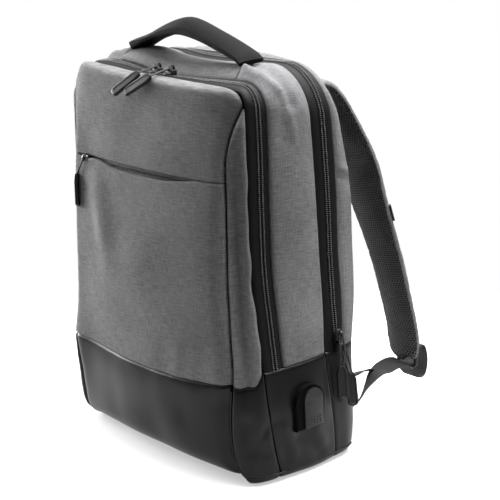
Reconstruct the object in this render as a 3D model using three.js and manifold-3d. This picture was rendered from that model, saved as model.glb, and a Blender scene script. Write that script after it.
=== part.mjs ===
// A laptop backpack: grey melange cloth over a dark coated base, a front compartment and a main
// compartment closed by two arched zips, a slit pocket, a padded handle, two padded shoulder straps
// and a charging port on the right side. Millimetres, +Z up, front towards -Y, standing on its base.
import * as THREE from 'three';
import { mergeVertices } from 'three/addons/utils/BufferGeometryUtils.js';
import Module from 'manifold-3d';

// Driving dimensions
const CLOTH = 2;
const BACK_PAD = 6;
const GAP = 0.3;
const BASE_TOP = 126;
const FRONT_BASE_TOP = 113;
const FRONT_SAG = 6;
const BASE_ROUND = 12;
const FRONT_ROLL = 20;
const BACK_ROLL = 40;
const BACK_CROWN = 9;
const TOP_CROWN = 3;
const TOP_SEAM = 98;
const POCKET_HEIGHT = 331;
const POCKET_MOUTH = 9;
const LEAF_LENGTH = 72;
const LEAF_TIP = 414;
const COIL_LIFT = 2;
const HANDLE = { width: 38, seat: 3.4 };
const STRAP = { width: 64, thickness: 11, steps: 15 };
const KEEPER = { from: 6.12, to: 6.42, thickness: 1.8 };
const WEBBING = { width: 22, thickness: 1.6, steps: 44 };
const LOCK = { width: 32, height: 34, depth: 4, bar: 4, chamfer: 4, place: [103, 226, 60] };
const SLIDER = { length: 13, width: 9, height: 3, sink: 0.4 };
const BAIL = { reach: 5, height: 5.6, thick: 3, eye: 2.1 };
const PULL = { cord: 1.1, leg: 3.6, tabLength: 38, tabWidth: 12, tabThick: 4.4, neck: 8 };
const USB = { y: 1, z: 77, width: 41, height: 50, stand: 8, buried: 8 };
const FLAP = { width: 27, height: 44, thickness: 2.4, shiftY: 3, shiftZ: -1 };

// The body by height: half width at the zips, half width and place of the front seam, the depth of
// each zip edge and of the back edge, and how far the front face bulges.
const HEIGHTS = table('z half seam front zipOneFront zipOneBack zipTwoFront zipTwoBack back bulge', [
  [0, 168, 152, -75, -36, -14, 41, 60, 72, 6],
  [30, 167, 140, -80, -42, -18, 42, 61, 77, 12],
  [62, 166, 137, -81, -46, -22, 41, 61, 78, 14],
  [126, 163, 141, -80, -51, -25, 36, 60, 79, 14],
  [230, 153, 137, -76, -52, -25, 43, 70, 94, 14],
  [370, 152, 135, -66, -49, -22, 39, 65, 83, 9],
  [450, 150, 134, -62, -48, -21, 37, 61, 76, 4],
]);

// The lines that run round the body from one base corner over the top to the other, front to back:
// how far each lies inside the half width, its height on top and its top corner radius.
const LANES = table('column inset top corner', [
  ['zipOneFront', 3, 427, 26],
  ['zipOneBack', 0, 433, 33],
  ['middle', -2, 443, 46],
  ['zipTwoFront', 0, 440, 56],
  ['zipTwoBack', 2, 437, 60],
  ['back', 8, 424, 58],
]);
const ZIP_ONE_FRONT = 0;
const ZIP_ONE_BACK = 1;
const MIDDLE = 2;
const ZIP_TWO_FRONT = 3;
const ZIP_TWO_BACK = 4;
const BACK_EDGE = 5;
const LANE_GAP = 0.006;

// Places along a lane: 0 under the base, 1 where the base turns up, 2 at the base seam, 3 and 4 at
// the ends of the top corner, 5 at the middle of the top. The left side counts on from 5 to 10.
const BASE_SEAM = 2;
const CORNER_FOOT = 3;
const CORNER_HEAD = 4;
const TOP_MIDDLE = 5;
const SEAM_BELOW = BASE_SEAM - 0.0015;
const SEAM_ABOVE = BASE_SEAM + 0.0006;

// Soft folds pressed into the cloth: the piece, the two ends of the fold, its half width and depth.
const FOLDS = table('piece from to reach depth', [
  ['front_gusset', [148, -66, 150], [145, -62, 330], 9, 4],
  ['front_lower', [-124, -84, 150], [-128, -78, 300], 14, -3],
  ['front_lower', [-100, -90, 170], [-106, -82, 310], 14, 3],
  ['top_panel', [-90, -6, 440], [90, -6, 440], 9, 3],
  ['main_gusset', [132, 8, 424], [152, 2, 376], 14, 3],
  ['base_side', [166, -34, 80], [167, -8, 24], 12, 3],
]);

// Padded shoulder strap, right side: the middle line from the back seam to the tip, with the shares
// of the full width and thickness that it has there.
const STRAP_LINE = table('x y z width thick', [
  [52, 93.5, 388, 0.96, 0.5],
  [53, 103, 396, 1, 0.8],
  [56, 120, 397, 1, 1],
  [60, 138, 382, 1, 1],
  [68, 156, 345, 0.97, 1],
  [80, 170, 302, 0.91, 1],
  [90, 181, 255, 0.86, 1],
  [100, 194, 194, 0.82, 1],
  [105, 203, 144, 0.82, 1],
  [106, 212, 100, 0.8, 1],
  [104, 217, 72, 0.64, 0.8],
  [103, 219, 59, 0.38, 0.5],
]);

// Webbing from the lower back seam through the ladder lock, with its tail curled back towards the
// bag: turn is the twist of its width away from the X axis, in degrees.
const WEBBING_LINE = table('x y z turn', [
  [142, 83.6, 46, -25],
  [139, 110, 49, 0],
  [129, 144, 58, 50],
  [118, 178, 55, 50],
  [108, 205, 46, 15],
  [103, 218, 47.6, 0],
  [103, 227, 49.4, 0],
  [103, 234, 56, 0],
  [103, 239, 67, 0],
  [103, 245, 63, 0],
  [103, 248, 46, 0],
  [103, 245, 32, 0],
  [103, 237, 25, 0],
  [100, 221, 29, 0],
  [95, 196, 42, 20],
  [105, 164, 64, 20],
  [122, 132, 77, 0],
  [140, 102, 82, -15],
]);

// Padded handle from its right end to its left, slumped a little to the left: how far it stands above
// the top and its thickness.
const HANDLE_LINE = table('x rise thick', [
  [TOP_SEAM + 5, 0, 4],
  [TOP_SEAM - 4, 1, 5],
  [TOP_SEAM - 24, 5, 9],
  [TOP_SEAM - 50, 14, 13],
  [14, 24, 14],
  [-14, 27, 14],
  [-40, 23, 14],
  [30 - TOP_SEAM, 12, 12],
  [18 - TOP_SEAM, 5, 9],
  [4 - TOP_SEAM, 1, 5],
  [-TOP_SEAM - 5, 0, 4],
]);

// Zip sliders: the share of the way along their tape, and the direction and bow of their pulls.
const FRONT_SLIDERS = table('name x hang bow', [
  ['front_zip_first', 16, [-0.16, -0.94, -0.32], 0],
  ['front_zip_second', -9, [-0.08, -0.94, -0.32], 0],
]);
const MAIN_SLIDERS = table('name place hang bow', [
  ['main_zip_first', 2.09, [0.15, -0.03, -1], 6],
  ['main_zip_second', 2.03, [-0.05, 0.28, -1], 0],
]);

// Rows of a table as objects with the named columns.
function table(columns, rows) {
  const names = columns.split(' ');
  return rows.map((row) => Object.fromEntries(names.map((name, i) => [name, row[i]])));
}

const lerp = (from, to, share) => from + (to - from) * share;
const steps = (from, to, count) => Array.from({ length: count + 1 }, (_, i) => lerp(from, to, i / count));
const smooth = (value) => THREE.MathUtils.smoothstep(value, 0, 1);
const vector = (xyz) => new THREE.Vector3(...xyz);

// A smooth curve through a table's column, with the slope at each row taken from its neighbours.
function through(rows, key, column, value) {
  const slope = (i) => {
    const before = rows[Math.max(i - 1, 0)];
    const after = rows[Math.min(i + 1, rows.length - 1)];
    return (after[column] - before[column]) / (after[key] - before[key]);
  };
  let i = 0;
  while (i < rows.length - 2 && value > rows[i + 1][key]) i += 1;
  const span = rows[i + 1][key] - rows[i][key];
  const t = (value - rows[i][key]) / span;
  const rise = rows[i + 1][column] - rows[i][column];
  const near = slope(i) * span;
  const far = slope(i + 1) * span;
  return rows[i][column] + t * (near + t * (3 * rise - 2 * near - far + t * (near + far - 2 * rise)));
}

for (const row of HEIGHTS) row.middle = (row.zipOneBack + row.zipTwoFront) / 2;
LANES.forEach((lane, index) => { lane.index = index; });
const atHeight = (column, z) => through(HEIGHTS, 'z', column, z);
const atLane = (column, lane) => through(LANES, 'index', column, lane);

// Depth of a lane, whole or between two lanes, at a height.
function laneDepth(lane, z) {
  const row = LANES.map(({ column, index }) => ({ index, depth: atHeight(column, z) }));
  return through(row, 'index', 'depth', lane);
}

// A point of the body's outer skin on a lane.
function skin(place, lane) {
  const t = place > TOP_MIDDLE ? 2 * TOP_MIDDLE - place : place;
  const top = atLane('top', lane);
  const corner = atLane('corner', lane);
  const side = (z) => atHeight('half', z) - atLane('inset', lane);
  const flat = side(top - corner) - corner;
  let x;
  let z;
  if (t <= 1) {
    z = BASE_ROUND * (1 - Math.cos(t * Math.PI / 2));
    x = side(z) - tuck(z);
  } else if (t <= CORNER_FOOT) {
    z = t <= BASE_SEAM ? lerp(BASE_ROUND, BASE_TOP, t - 1) : lerp(BASE_TOP, top - corner, t - BASE_SEAM);
    x = side(z);
  } else if (t <= CORNER_HEAD) {
    const turn = (t - CORNER_FOOT) * Math.PI / 2;
    x = flat + corner * Math.cos(turn);
    z = top - corner + corner * Math.sin(turn);
  } else {
    x = flat * (TOP_MIDDLE - t);
    z = top + TOP_CROWN * (1 - (x / flat) ** 2);
  }
  return new THREE.Vector3(place > TOP_MIDDLE ? -x : x, laneDepth(lane, Math.min(z, top)), z);
}

// How far the skin turns under the base at a height.
function tuck(z) {
  const rise = 1 - Math.min(z / BASE_ROUND, 1);
  return BASE_ROUND * (1 - Math.sqrt(1 - rise * rise));
}

// Half width of a lane's outline at a height, round its top corner too.
function laneHalf(lane, z) {
  const corner = atLane('corner', lane);
  const foot = atLane('top', lane) - corner;
  const side = atHeight('half', Math.min(z, foot)) - atLane('inset', lane);
  const rise = Math.min(Math.max(z - foot, 0), corner);
  return side - corner + Math.sqrt(corner * corner - rise * rise);
}

// The share of its full width that the front corner strip has at a height.
function leaf(z) {
  const share = Math.min(Math.max((LEAF_TIP - z) / LEAF_LENGTH, 0), 1);
  return 1 - (1 - share) ** 2;
}

// A point of the front face: across from -1 to 1, and the height of its row.
function frontFace(across, row) {
  const edge = Math.abs(across);
  const top = LANES[ZIP_ONE_FRONT].top;
  const share = leaf(row);
  const half = lerp(laneHalf(ZIP_ONE_FRONT, row), atHeight('seam', row), share) - 0.6 * tuck(row);
  const under = tuck(row) * (1 - 0.2 * edge ** 4);
  const face = atHeight('front', row) - atHeight('bulge', row) * (1 - edge ** 2.2) + under;
  const roll = Math.min(Math.max((row - top + FRONT_ROLL) / FRONT_ROLL, 0), 1);
  const over = 1 - Math.sqrt(1 - roll * roll);
  const turned = 1 - (1 - edge ** 6 * (1 - share)) * (1 - over);
  const crown = TOP_CROWN * (1 - across * across) * smooth((row - POCKET_HEIGHT) / (top - POCKET_HEIGHT));
  return new THREE.Vector3(across * half, lerp(face, laneDepth(ZIP_ONE_FRONT, row), turned), row + crown);
}

// A point of the front corner strip: 0 at the front seam, 1 at the front zip, with half the seam
// gap left free at both edges.
function cornerStrip(share, z) {
  const seam = frontFace(1, z);
  const zip = new THREE.Vector3(laneHalf(ZIP_ONE_FRONT, z) - tuck(z), laneDepth(ZIP_ONE_FRONT, z), z);
  const knee = new THREE.Vector3(lerp(seam.x, zip.x, 0.95), lerp(seam.y, zip.y, 0.2), z);
  const curve = new THREE.QuadraticBezierCurve3(seam, knee, zip);
  const free = Math.min(GAP / seam.distanceTo(zip), 0.3);
  return curve.getPoint(lerp(free, 1 - free, share));
}

// A point of the back panel: across from -1 to 1, and the height of its row.
function backFace(across, row) {
  const edge = Math.abs(across);
  const top = LANES[BACK_EDGE].top;
  const half = laneHalf(BACK_EDGE, row) - tuck(row);
  const rounded = 1 - edge ** 6;
  const ends = (1 - smooth((row - top + BACK_ROLL) / BACK_ROLL)) * smooth(row / (5 * BASE_ROUND));
  const depth = laneDepth(BACK_EDGE, row) + rounded * (BACK_CROWN * ends - tuck(row));
  const crown = TOP_CROWN * (1 - across * across) * smooth((row - POCKET_HEIGHT) / (top - POCKET_HEIGHT));
  return new THREE.Vector3(across * half, depth, row + crown);
}

// The inward direction at any point of the body: every wall takes its thickness along it, so
// neighbouring walls meet at a mitre.
const CORE = { half: new THREE.Vector3(166, 92, 224), centre: new THREE.Vector3(0, 2, 220) };
function inward(point) {
  const offset = point.clone().sub(CORE.centre).divide(CORE.half);
  const pull = new THREE.Vector3(offset.x ** 3, offset.y ** 3, offset.z ** 3).divide(CORE.half);
  return pull.normalize().negate();
}

// Depth of the folds of a piece at a point, with the left side as the mirror of the right.
function foldDepth(piece, point, sides) {
  const at = sides ? new THREE.Vector3(Math.abs(point.x), point.y, point.z) : point;
  let depth = 0;
  for (const fold of FOLDS.filter((row) => row.piece === piece)) {
    const line = new THREE.Line3(vector(fold.from), vector(fold.to));
    const away = line.closestPointToPoint(at, true, new THREE.Vector3()).distanceTo(at);
    depth += fold.depth * Math.exp(-((away / fold.reach) ** 2));
  }
  return depth;
}

// A closed mesh from quads and triangles of one list of points, turned so that its faces point out.
function closedMesh(points, faces) {
  const triangles = faces.flatMap((f) => (f.length === 4 ? [f[0], f[1], f[2], f[0], f[2], f[3]] : f));
  let volume = 0;
  for (let i = 0; i < triangles.length; i += 3) {
    const [a, b, c] = [0, 1, 2].map((k) => points[triangles[i + k]]);
    volume += a.dot(b.clone().cross(c));
  }
  const geometry = new THREE.BufferGeometry().setFromPoints(points);
  geometry.setIndex(volume < 0 ? triangles.reverse() : triangles);
  geometry.computeVertexNormals();
  return geometry;
}

// A wall of cloth from a grid of outer points, with its thickness along the inward direction.
function wall(grid, thickness = CLOTH) {
  const rows = grid.length;
  const columns = grid[0].length;
  const outer = grid.flat();
  const points = [...outer, ...outer.map((p) => p.clone().addScaledVector(inward(p), thickness))];
  const at = (r, c, inner) => r * columns + c + (inner ? outer.length : 0);
  const faces = [];
  for (let r = 0; r < rows - 1; r += 1) {
    for (let c = 0; c < columns - 1; c += 1) {
      faces.push([at(r, c), at(r, c + 1), at(r + 1, c + 1), at(r + 1, c)]);
      faces.push([at(r, c, true), at(r + 1, c, true), at(r + 1, c + 1, true), at(r, c + 1, true)]);
    }
  }
  const rim = [];
  for (let c = 0; c < columns - 1; c += 1) rim.push([0, c]);
  for (let r = 0; r < rows - 1; r += 1) rim.push([r, columns - 1]);
  for (let c = columns - 1; c > 0; c -= 1) rim.push([rows - 1, c]);
  for (let r = rows - 1; r > 0; r -= 1) rim.push([r, 0]);
  rim.forEach(([r, c], i) => {
    const [nextR, nextC] = rim[(i + 1) % rim.length];
    faces.push([at(r, c), at(r, c, true), at(nextR, nextC, true), at(nextR, nextC)]);
  });
  return closedMesh(points, faces);
}

// A panel from a place function over rows and columns: puff swells it between its seams.
function panel({ rows, columns, place, puff = 0, piece = '', sides = false, thickness = CLOTH }) {
  const grid = rows.map((row, r) => columns.map((column, c) => {
    const point = place(row, column);
    const inside = (i, count) => 1 - Math.abs(2 * i / count - 1) ** 3;
    const swell = inside(r, rows.length - 1) * inside(c, columns.length - 1);
    const edge = r === 0 || c === 0 || r === rows.length - 1 || c === columns.length - 1;
    const press = edge ? 0 : puff * swell - foldDepth(piece, point, sides);
    return point.clone().addScaledVector(inward(point), -press);
  }));
  return wall(grid, thickness);
}

// A solid lofted through closed sections of equal length, capped at both ends.
function loft(sections) {
  const count = sections[0].length;
  const faces = [];
  for (let s = 0; s < sections.length - 1; s += 1) {
    for (let i = 0; i < count; i += 1) {
      const next = (i + 1) % count;
      faces.push([s * count + i, s * count + next, (s + 1) * count + next, (s + 1) * count + i]);
    }
  }
  for (let i = 1; i < count - 1; i += 1) {
    const last = (sections.length - 1) * count;
    faces.push([0, i + 1, i], [last, last + i, last + i + 1]);
  }
  return closedMesh(sections.flat(), faces);
}

// The section of a flat strap: a flat oval of 12 points, or a plain band of 4.
function strapSection(width, thickness, padded) {
  const oval = (value, power) => Math.sign(value) * Math.abs(value) ** power;
  const angles = padded ? steps(15, 345, 11) : steps(45, 315, 3);
  const [flatness, roundness] = padded ? [0.4, 0.8] : [0, 0];
  return angles.map(THREE.MathUtils.degToRad).map((angle) => [
    oval(Math.cos(angle), flatness) * width / 2,
    oval(Math.sin(angle), roundness) * thickness / 2,
  ]);
}

// A place along a table of points, with the directions along it, across it and out of its face. The
// width lies along X, turned about the line by the table's turn.
function strapFrame(line, t) {
  line.forEach((row, i) => { row.step = i; });
  const share = (column) => (column in line[0] ? through(line, 'step', column, t) : 1);
  const point = (at) => vector(['x', 'y', 'z'].map((axis) => through(line, 'step', axis, at)));
  const along = point(Math.min(t + 0.01, line.length - 1)).sub(point(Math.max(t - 0.01, 0))).normalize();
  const across = new THREE.Vector3(1, 0, 0).addScaledVector(along, -along.x).normalize();
  if ('turn' in line[0]) across.applyAxisAngle(along, THREE.MathUtils.degToRad(share('turn')));
  const normal = new THREE.Vector3().crossVectors(along, across);
  const place = ([a, b]) => point(t).addScaledVector(across, a).addScaledVector(normal, b);
  return { place, width: share('width'), thick: share('thick') };
}
function strap(line, size, padded) {
  return loft(steps(0, line.length - 1, size.steps).map((t) => {
    const { place, width, thick } = strapFrame(line, t);
    return strapSection(size.width * width, size.thickness * thick, padded).map(place);
  }));
}

// A keeper band sewn across the outer face of a padded strap.
function keeper() {
  const section = (t, grow) => {
    const { place, width, thick } = strapFrame(STRAP_LINE, t);
    const oval = strapSection(STRAP.width * width + 2 * grow, STRAP.thickness * thick + 2 * grow, true);
    return oval.filter(([, b]) => b < 0).map(place);
  };
  const inner = 2 * GAP;
  const outer = inner + KEEPER.thickness;
  const [nearIn, farIn] = [KEEPER.from, KEEPER.to].map((t) => section(t, inner));
  const [nearOut, farOut] = [KEEPER.from, KEEPER.to].map((t) => section(t, outer));
  return loft(nearIn.map((_, i) => [nearIn[i], nearOut[i], farOut[i], farIn[i]]));
}

// Boolean joins and cuts of closed geometries.
const wasm = await Module();
wasm.setup();
function solid(geometry) {
  const bare = geometry.clone();
  bare.deleteAttribute('normal');
  bare.deleteAttribute('uv');
  const merged = mergeVertices(bare, 1e-4);
  return new wasm.Manifold(new wasm.Mesh({
    numProp: 3,
    vertProperties: new Float32Array(merged.attributes.position.array),
    triVerts: new Uint32Array(merged.index.array),
  }));
}
function geometryOf(manifold) {
  const { vertProperties, triVerts } = manifold.getMesh();
  const geometry = new THREE.BufferGeometry();
  geometry.setAttribute('position', new THREE.BufferAttribute(new Float32Array(vertProperties), 3));
  geometry.setIndex(new THREE.BufferAttribute(new Uint32Array(triVerts), 1));
  geometry.computeVertexNormals();
  return geometry;
}
const joined = (...geometries) => geometryOf(geometries.map(solid).reduce((sum, next) => sum.add(next)));
const cut = (geometry, tool) => geometryOf(solid(geometry).subtract(solid(tool)));

// Finishes, each with the colour that the cloth, webbing, rubber or metal shows.
const finish = (color, roughness, metalness = 0) => () => (
  new THREE.MeshStandardMaterial({ color, roughness, metalness })
);
const greyCloth = finish(0x6b6b6d, 0.9);
const darkCloth = finish(0x2b2b2d, 0.6);
const meshCloth = finish(0x262627, 0.95);
const zipTape = finish(0x161617, 0.8);
const webbingCloth = finish(0x3a3a3c, 0.85);
const rubber = finish(0x1c1c1d, 0.55);
const plastic = finish(0x18181a, 0.4);
const metal = finish(0x1a1a1b, 0.35, 0.6);

const backpack = new THREE.Group();
function add(name, geometry, material) {
  const mesh = new THREE.Mesh(geometry, material());
  mesh.name = name;
  backpack.add(mesh);
  return mesh;
}
const SIDES = [{ side: 'right', mirror: 1 }, { side: 'left', mirror: -1 }];
function mirrored(geometry, mirror) {
  if (mirror > 0) return geometry;
  const flipped = geometry.clone().scale(-1, 1, 1);
  const index = Array.from(flipped.index.array);
  flipped.setIndex(index.reverse());
  return flipped;
}

// Front face: the base, then the cloth below and above the slit of the pocket. The slit gapes near
// its left end and closes towards the right.
const ACROSS = steps(-1, 1, 12);
const UNDER_ROWS = steps(0, Math.PI / 3, 2).map((angle) => BASE_ROUND * (1 - Math.cos(angle)));
const frontHem = (across) => FRONT_BASE_TOP - FRONT_SAG * (1 - across * across);
const gape = (across) => GAP + POCKET_MOUTH * smooth(1 - (across + 0.55) / 1.4);
add('base_front', panel({
  rows: [...UNDER_ROWS, ...steps(BASE_ROUND, FRONT_BASE_TOP, 4)],
  columns: ACROSS,
  place: (row, across) => frontFace(across, row * (frontHem(across) - GAP / 2) / FRONT_BASE_TOP),
  puff: 2,
}), darkCloth);
add('front_lower', panel({
  rows: steps(0, 1, 9),
  columns: ACROSS,
  place: (share, across) => {
    const row = lerp(frontHem(across) + GAP / 2, POCKET_HEIGHT - gape(across), share);
    return frontFace(across, row);
  },
  puff: 2,
  piece: 'front_lower',
}), greyCloth);
const sineRows = (lane) => steps(18, 90, 4).map((angle) => {
  const { top, corner } = LANES[lane];
  return top - corner + corner * Math.sin(THREE.MathUtils.degToRad(angle));
});
const footOf = (lane) => LANES[lane].top - LANES[lane].corner;
const upperRows = [...steps(POCKET_HEIGHT, footOf(ZIP_ONE_FRONT), 5), ...sineRows(ZIP_ONE_FRONT)];
add('front_upper', panel({
  rows: upperRows,
  columns: ACROSS,
  place: (row, across) => frontFace(across, row),
  puff: 2,
}), greyCloth);

// The pocket's zip tape lies behind both edges of the slit.
const TAPE_BEHIND = CLOTH + 3 * GAP;
add('pocket_zip', panel({
  rows: [POCKET_HEIGHT - 20, POCKET_HEIGHT + 8],
  columns: steps(-0.93, 0.93, 12),
  place: (row, across) => {
    const point = frontFace(across, row);
    return point.addScaledVector(inward(point), TAPE_BEHIND);
  },
  thickness: 1.2,
}), zipTape);

// Front corner strips, grey above and dark in the base, with a hem that climbs to the side's seam.
for (const { side, mirror } of SIDES) {
  const edge = steps(0, 1, 6);
  const hem = (share) => lerp(FRONT_BASE_TOP, BASE_TOP, share);
  const grey = panel({
    rows: [...steps(0, 1, 7), ...upperRows.slice(1).filter((row) => row < LEAF_TIP - 3)],
    columns: edge,
    place: (row, share) => cornerStrip(share, row > 1 ? row : lerp(hem(share) + GAP / 2, POCKET_HEIGHT, row)),
    piece: 'front_gusset',
  });
  add(`front_gusset_${side}`, mirrored(grey, mirror), greyCloth);
  const dark = panel({
    rows: [...UNDER_ROWS, ...steps(BASE_ROUND, FRONT_BASE_TOP, 4)],
    columns: edge,
    place: (row, share) => cornerStrip(share, row * (hem(share) - GAP / 2) / FRONT_BASE_TOP),
  });
  add(`base_gusset_${side}`, mirrored(dark, mirror), darkCloth);
}

// A strip of the body between two lanes, over a list of places along them.
function strip(name, { places, from, to, columns, puff, piece, sides, thickness }, material) {
  return add(name, panel({
    rows: places,
    columns,
    place: (place, share) => skin(place, lerp(from + LANE_GAP, to - LANE_GAP, share)),
    puff,
    piece,
    sides,
    thickness,
  }), material);
}
const corner = steps(3.2, CORNER_HEAD, 4);
const half = [...steps(SEAM_ABOVE, CORNER_FOOT, 6), ...corner, ...steps(CORNER_HEAD + 1 / 6, TOP_MIDDLE, 5)];
const arch = [...half, ...half.slice(0, -1).reverse().map((place) => 2 * TOP_MIDDLE - place)];

// Both zips: an arch of tape, a little sunk at its edges, with the coil standing up in its middle.
const TAPE_PROFILE = [
  { share: 0, lift: 0 },
  { share: 0.36, lift: 0 },
  { share: 0.42, lift: COIL_LIFT },
  { share: 0.58, lift: COIL_LIFT },
  { share: 0.64, lift: 0 },
  { share: 1, lift: 0 },
];
for (const { name, from, to } of [
  { name: 'front_zip', from: ZIP_ONE_FRONT, to: ZIP_ONE_BACK },
  { name: 'main_zip', from: ZIP_TWO_FRONT, to: ZIP_TWO_BACK },
]) {
  const grid = arch.map((place) => TAPE_PROFILE.map(({ share, lift }) => {
    const point = skin(place, lerp(from + 2 * LANE_GAP, to - LANE_GAP, share));
    return point.addScaledVector(inward(point), -lift);
  }));
  add(name, wall(grid), zipTape);
}

// Cloth between the zips: the top panel under the handle and a long gusset down each side.
const flatTop = (lane) => laneHalf(lane, LANES[MIDDLE].top);
const seamPlace = TOP_MIDDLE - TOP_SEAM / flatTop(MIDDLE);
const SEAM_STEP = 0.0016;
strip('top_panel', {
  places: steps(seamPlace + SEAM_STEP, 2 * TOP_MIDDLE - seamPlace - SEAM_STEP, 8),
  from: ZIP_ONE_BACK,
  to: ZIP_TWO_FRONT,
  columns: steps(0, 1, 8),
  piece: 'top_panel',
}, greyCloth);
const gussetPlaces = [...steps(SEAM_ABOVE, CORNER_FOOT, 6), ...corner, seamPlace - SEAM_STEP];
for (const { side, mirror } of SIDES) {
  const places = (list) => (mirror > 0 ? list : list.map((place) => 2 * TOP_MIDDLE - place));
  strip(`main_gusset_${side}`, {
    places: places(gussetPlaces),
    from: ZIP_ONE_BACK,
    to: ZIP_TWO_FRONT,
    columns: steps(0, 1, 6),
    puff: 3,
    piece: 'main_gusset',
    sides: true,
  }, greyCloth);
  const basePlaces = places([...steps(0, 1, 3), ...steps(1.3, SEAM_BELOW, 3)]);
  strip(`base_side_${side}`, {
    places: basePlaces,
    from: ZIP_ONE_FRONT,
    to: ZIP_TWO_FRONT,
    columns: steps(0, 1, 8),
    puff: 2,
    piece: 'base_side',
    sides: true,
  }, darkCloth);
  strip(`base_rear_${side}`, {
    places: basePlaces,
    from: ZIP_TWO_FRONT,
    to: BACK_EDGE,
    columns: steps(0, 1, 4),
  }, darkCloth);
}

// The grey arch behind the main zip, the padded back and the flat bottom.
strip('rear_gusset', { places: arch, from: ZIP_TWO_BACK, to: BACK_EDGE, columns: steps(0, 1, 3) }, greyCloth);
const backFoot = footOf(BACK_EDGE);
const backRows = [
  ...UNDER_ROWS,
  ...steps(BASE_ROUND, BASE_TOP, 3),
  ...steps(BASE_TOP, backFoot, 6).slice(1),
  ...sineRows(BACK_EDGE),
];
function insideBack(point) {
  point.x *= 1 - GAP / (HEIGHTS[0].half - LANES[BACK_EDGE].inset - BASE_ROUND);
  if (point.z > backFoot) point.z -= GAP;
  return point;
}
add('back_panel', panel({
  rows: backRows,
  columns: ACROSS,
  place: (row, across) => insideBack(backFace(across, row)),
  thickness: BACK_PAD,
}), meshCloth);

const bottomEdge = [frontFace(1, 0), ...LANES.map((_, lane) => skin(0, lane))];
add('base_bottom', panel({
  rows: bottomEdge.map((_, i) => i),
  columns: ACROSS,
  place: (i, across) => {
    const share = i / (bottomEdge.length - 1);
    const front = frontFace(across, 0).y - frontFace(1, 0).y;
    const back = backFace(across, 0).y - backFace(1, 0).y;
    const depth = bottomEdge[i].y + (1 - share) * front + share * back;
    return new THREE.Vector3(across * (bottomEdge[i].x - 4 * GAP), depth * (1 - GAP / 40), 0);
  },
}), darkCloth);

// Padded handle: its flat ends lie on the top panel's seams and it arches over the middle.
const handleLine = HANDLE_LINE.map(({ x, rise, thick }) => {
  const ground = skin(TOP_MIDDLE - x / flatTop(MIDDLE), MIDDLE);
  return { x, y: ground.y, z: ground.z + rise + HANDLE.seat, thick };
});
const handleSections = handleLine.map(({ x, y, z, thick }, i) => {
  const before = handleLine[Math.max(i - 1, 0)];
  const after = handleLine[Math.min(i + 1, handleLine.length - 1)];
  const along = new THREE.Vector3(after.x - before.x, 0, after.z - before.z).normalize();
  const normal = new THREE.Vector3(-along.z, 0, along.x);
  return strapSection(HANDLE.width, thick, true)
    .map(([a, b]) => new THREE.Vector3(x, y + a, z).addScaledVector(normal, b));
});
add('handle', loft(handleSections), darkCloth);

// Shoulder straps with a keeper each, the ladder locks at their tips and the webbing through them.
function ladderLock() {
  const { width, height, depth, bar, chamfer } = LOCK;
  const outline = new THREE.Shape();
  outline.moveTo(-width / 2 + chamfer, -height / 2);
  outline.lineTo(width / 2 - chamfer, -height / 2);
  outline.lineTo(width / 2, -height / 2 + chamfer);
  outline.lineTo(width / 2, height / 2 - chamfer);
  outline.lineTo(width / 2 - chamfer, height / 2);
  outline.lineTo(-width / 2 + chamfer, height / 2);
  outline.lineTo(-width / 2, height / 2 - chamfer);
  outline.lineTo(-width / 2, -height / 2 + chamfer);
  const plate = new THREE.ExtrudeGeometry(outline, { depth, bevelEnabled: false });
  const slot = (height - 3 * bar) / 2;
  const hole = (middle) => new THREE.BoxGeometry(width - 2 * bar, slot, 4 * depth).translate(0, middle, 0);
  return cut(cut(plate, hole((slot + bar) / 2)), hole(-(slot + bar) / 2));
}
for (const { side, mirror } of SIDES) {
  add(`strap_${side}`, mirrored(strap(STRAP_LINE, STRAP, true), mirror), meshCloth);
  add(`strap_keeper_${side}`, mirrored(keeper(), mirror), webbingCloth);
  const lock = add(`ladder_lock_${side}`, ladderLock(), plastic);
  const [x, y, z] = LOCK.place;
  lock.rotation.x = Math.PI / 2;
  lock.position.set(mirror * x, y, z);
  add(`webbing_${side}`, mirrored(strap(WEBBING_LINE, WEBBING, false), mirror), webbingCloth);
}

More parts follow.
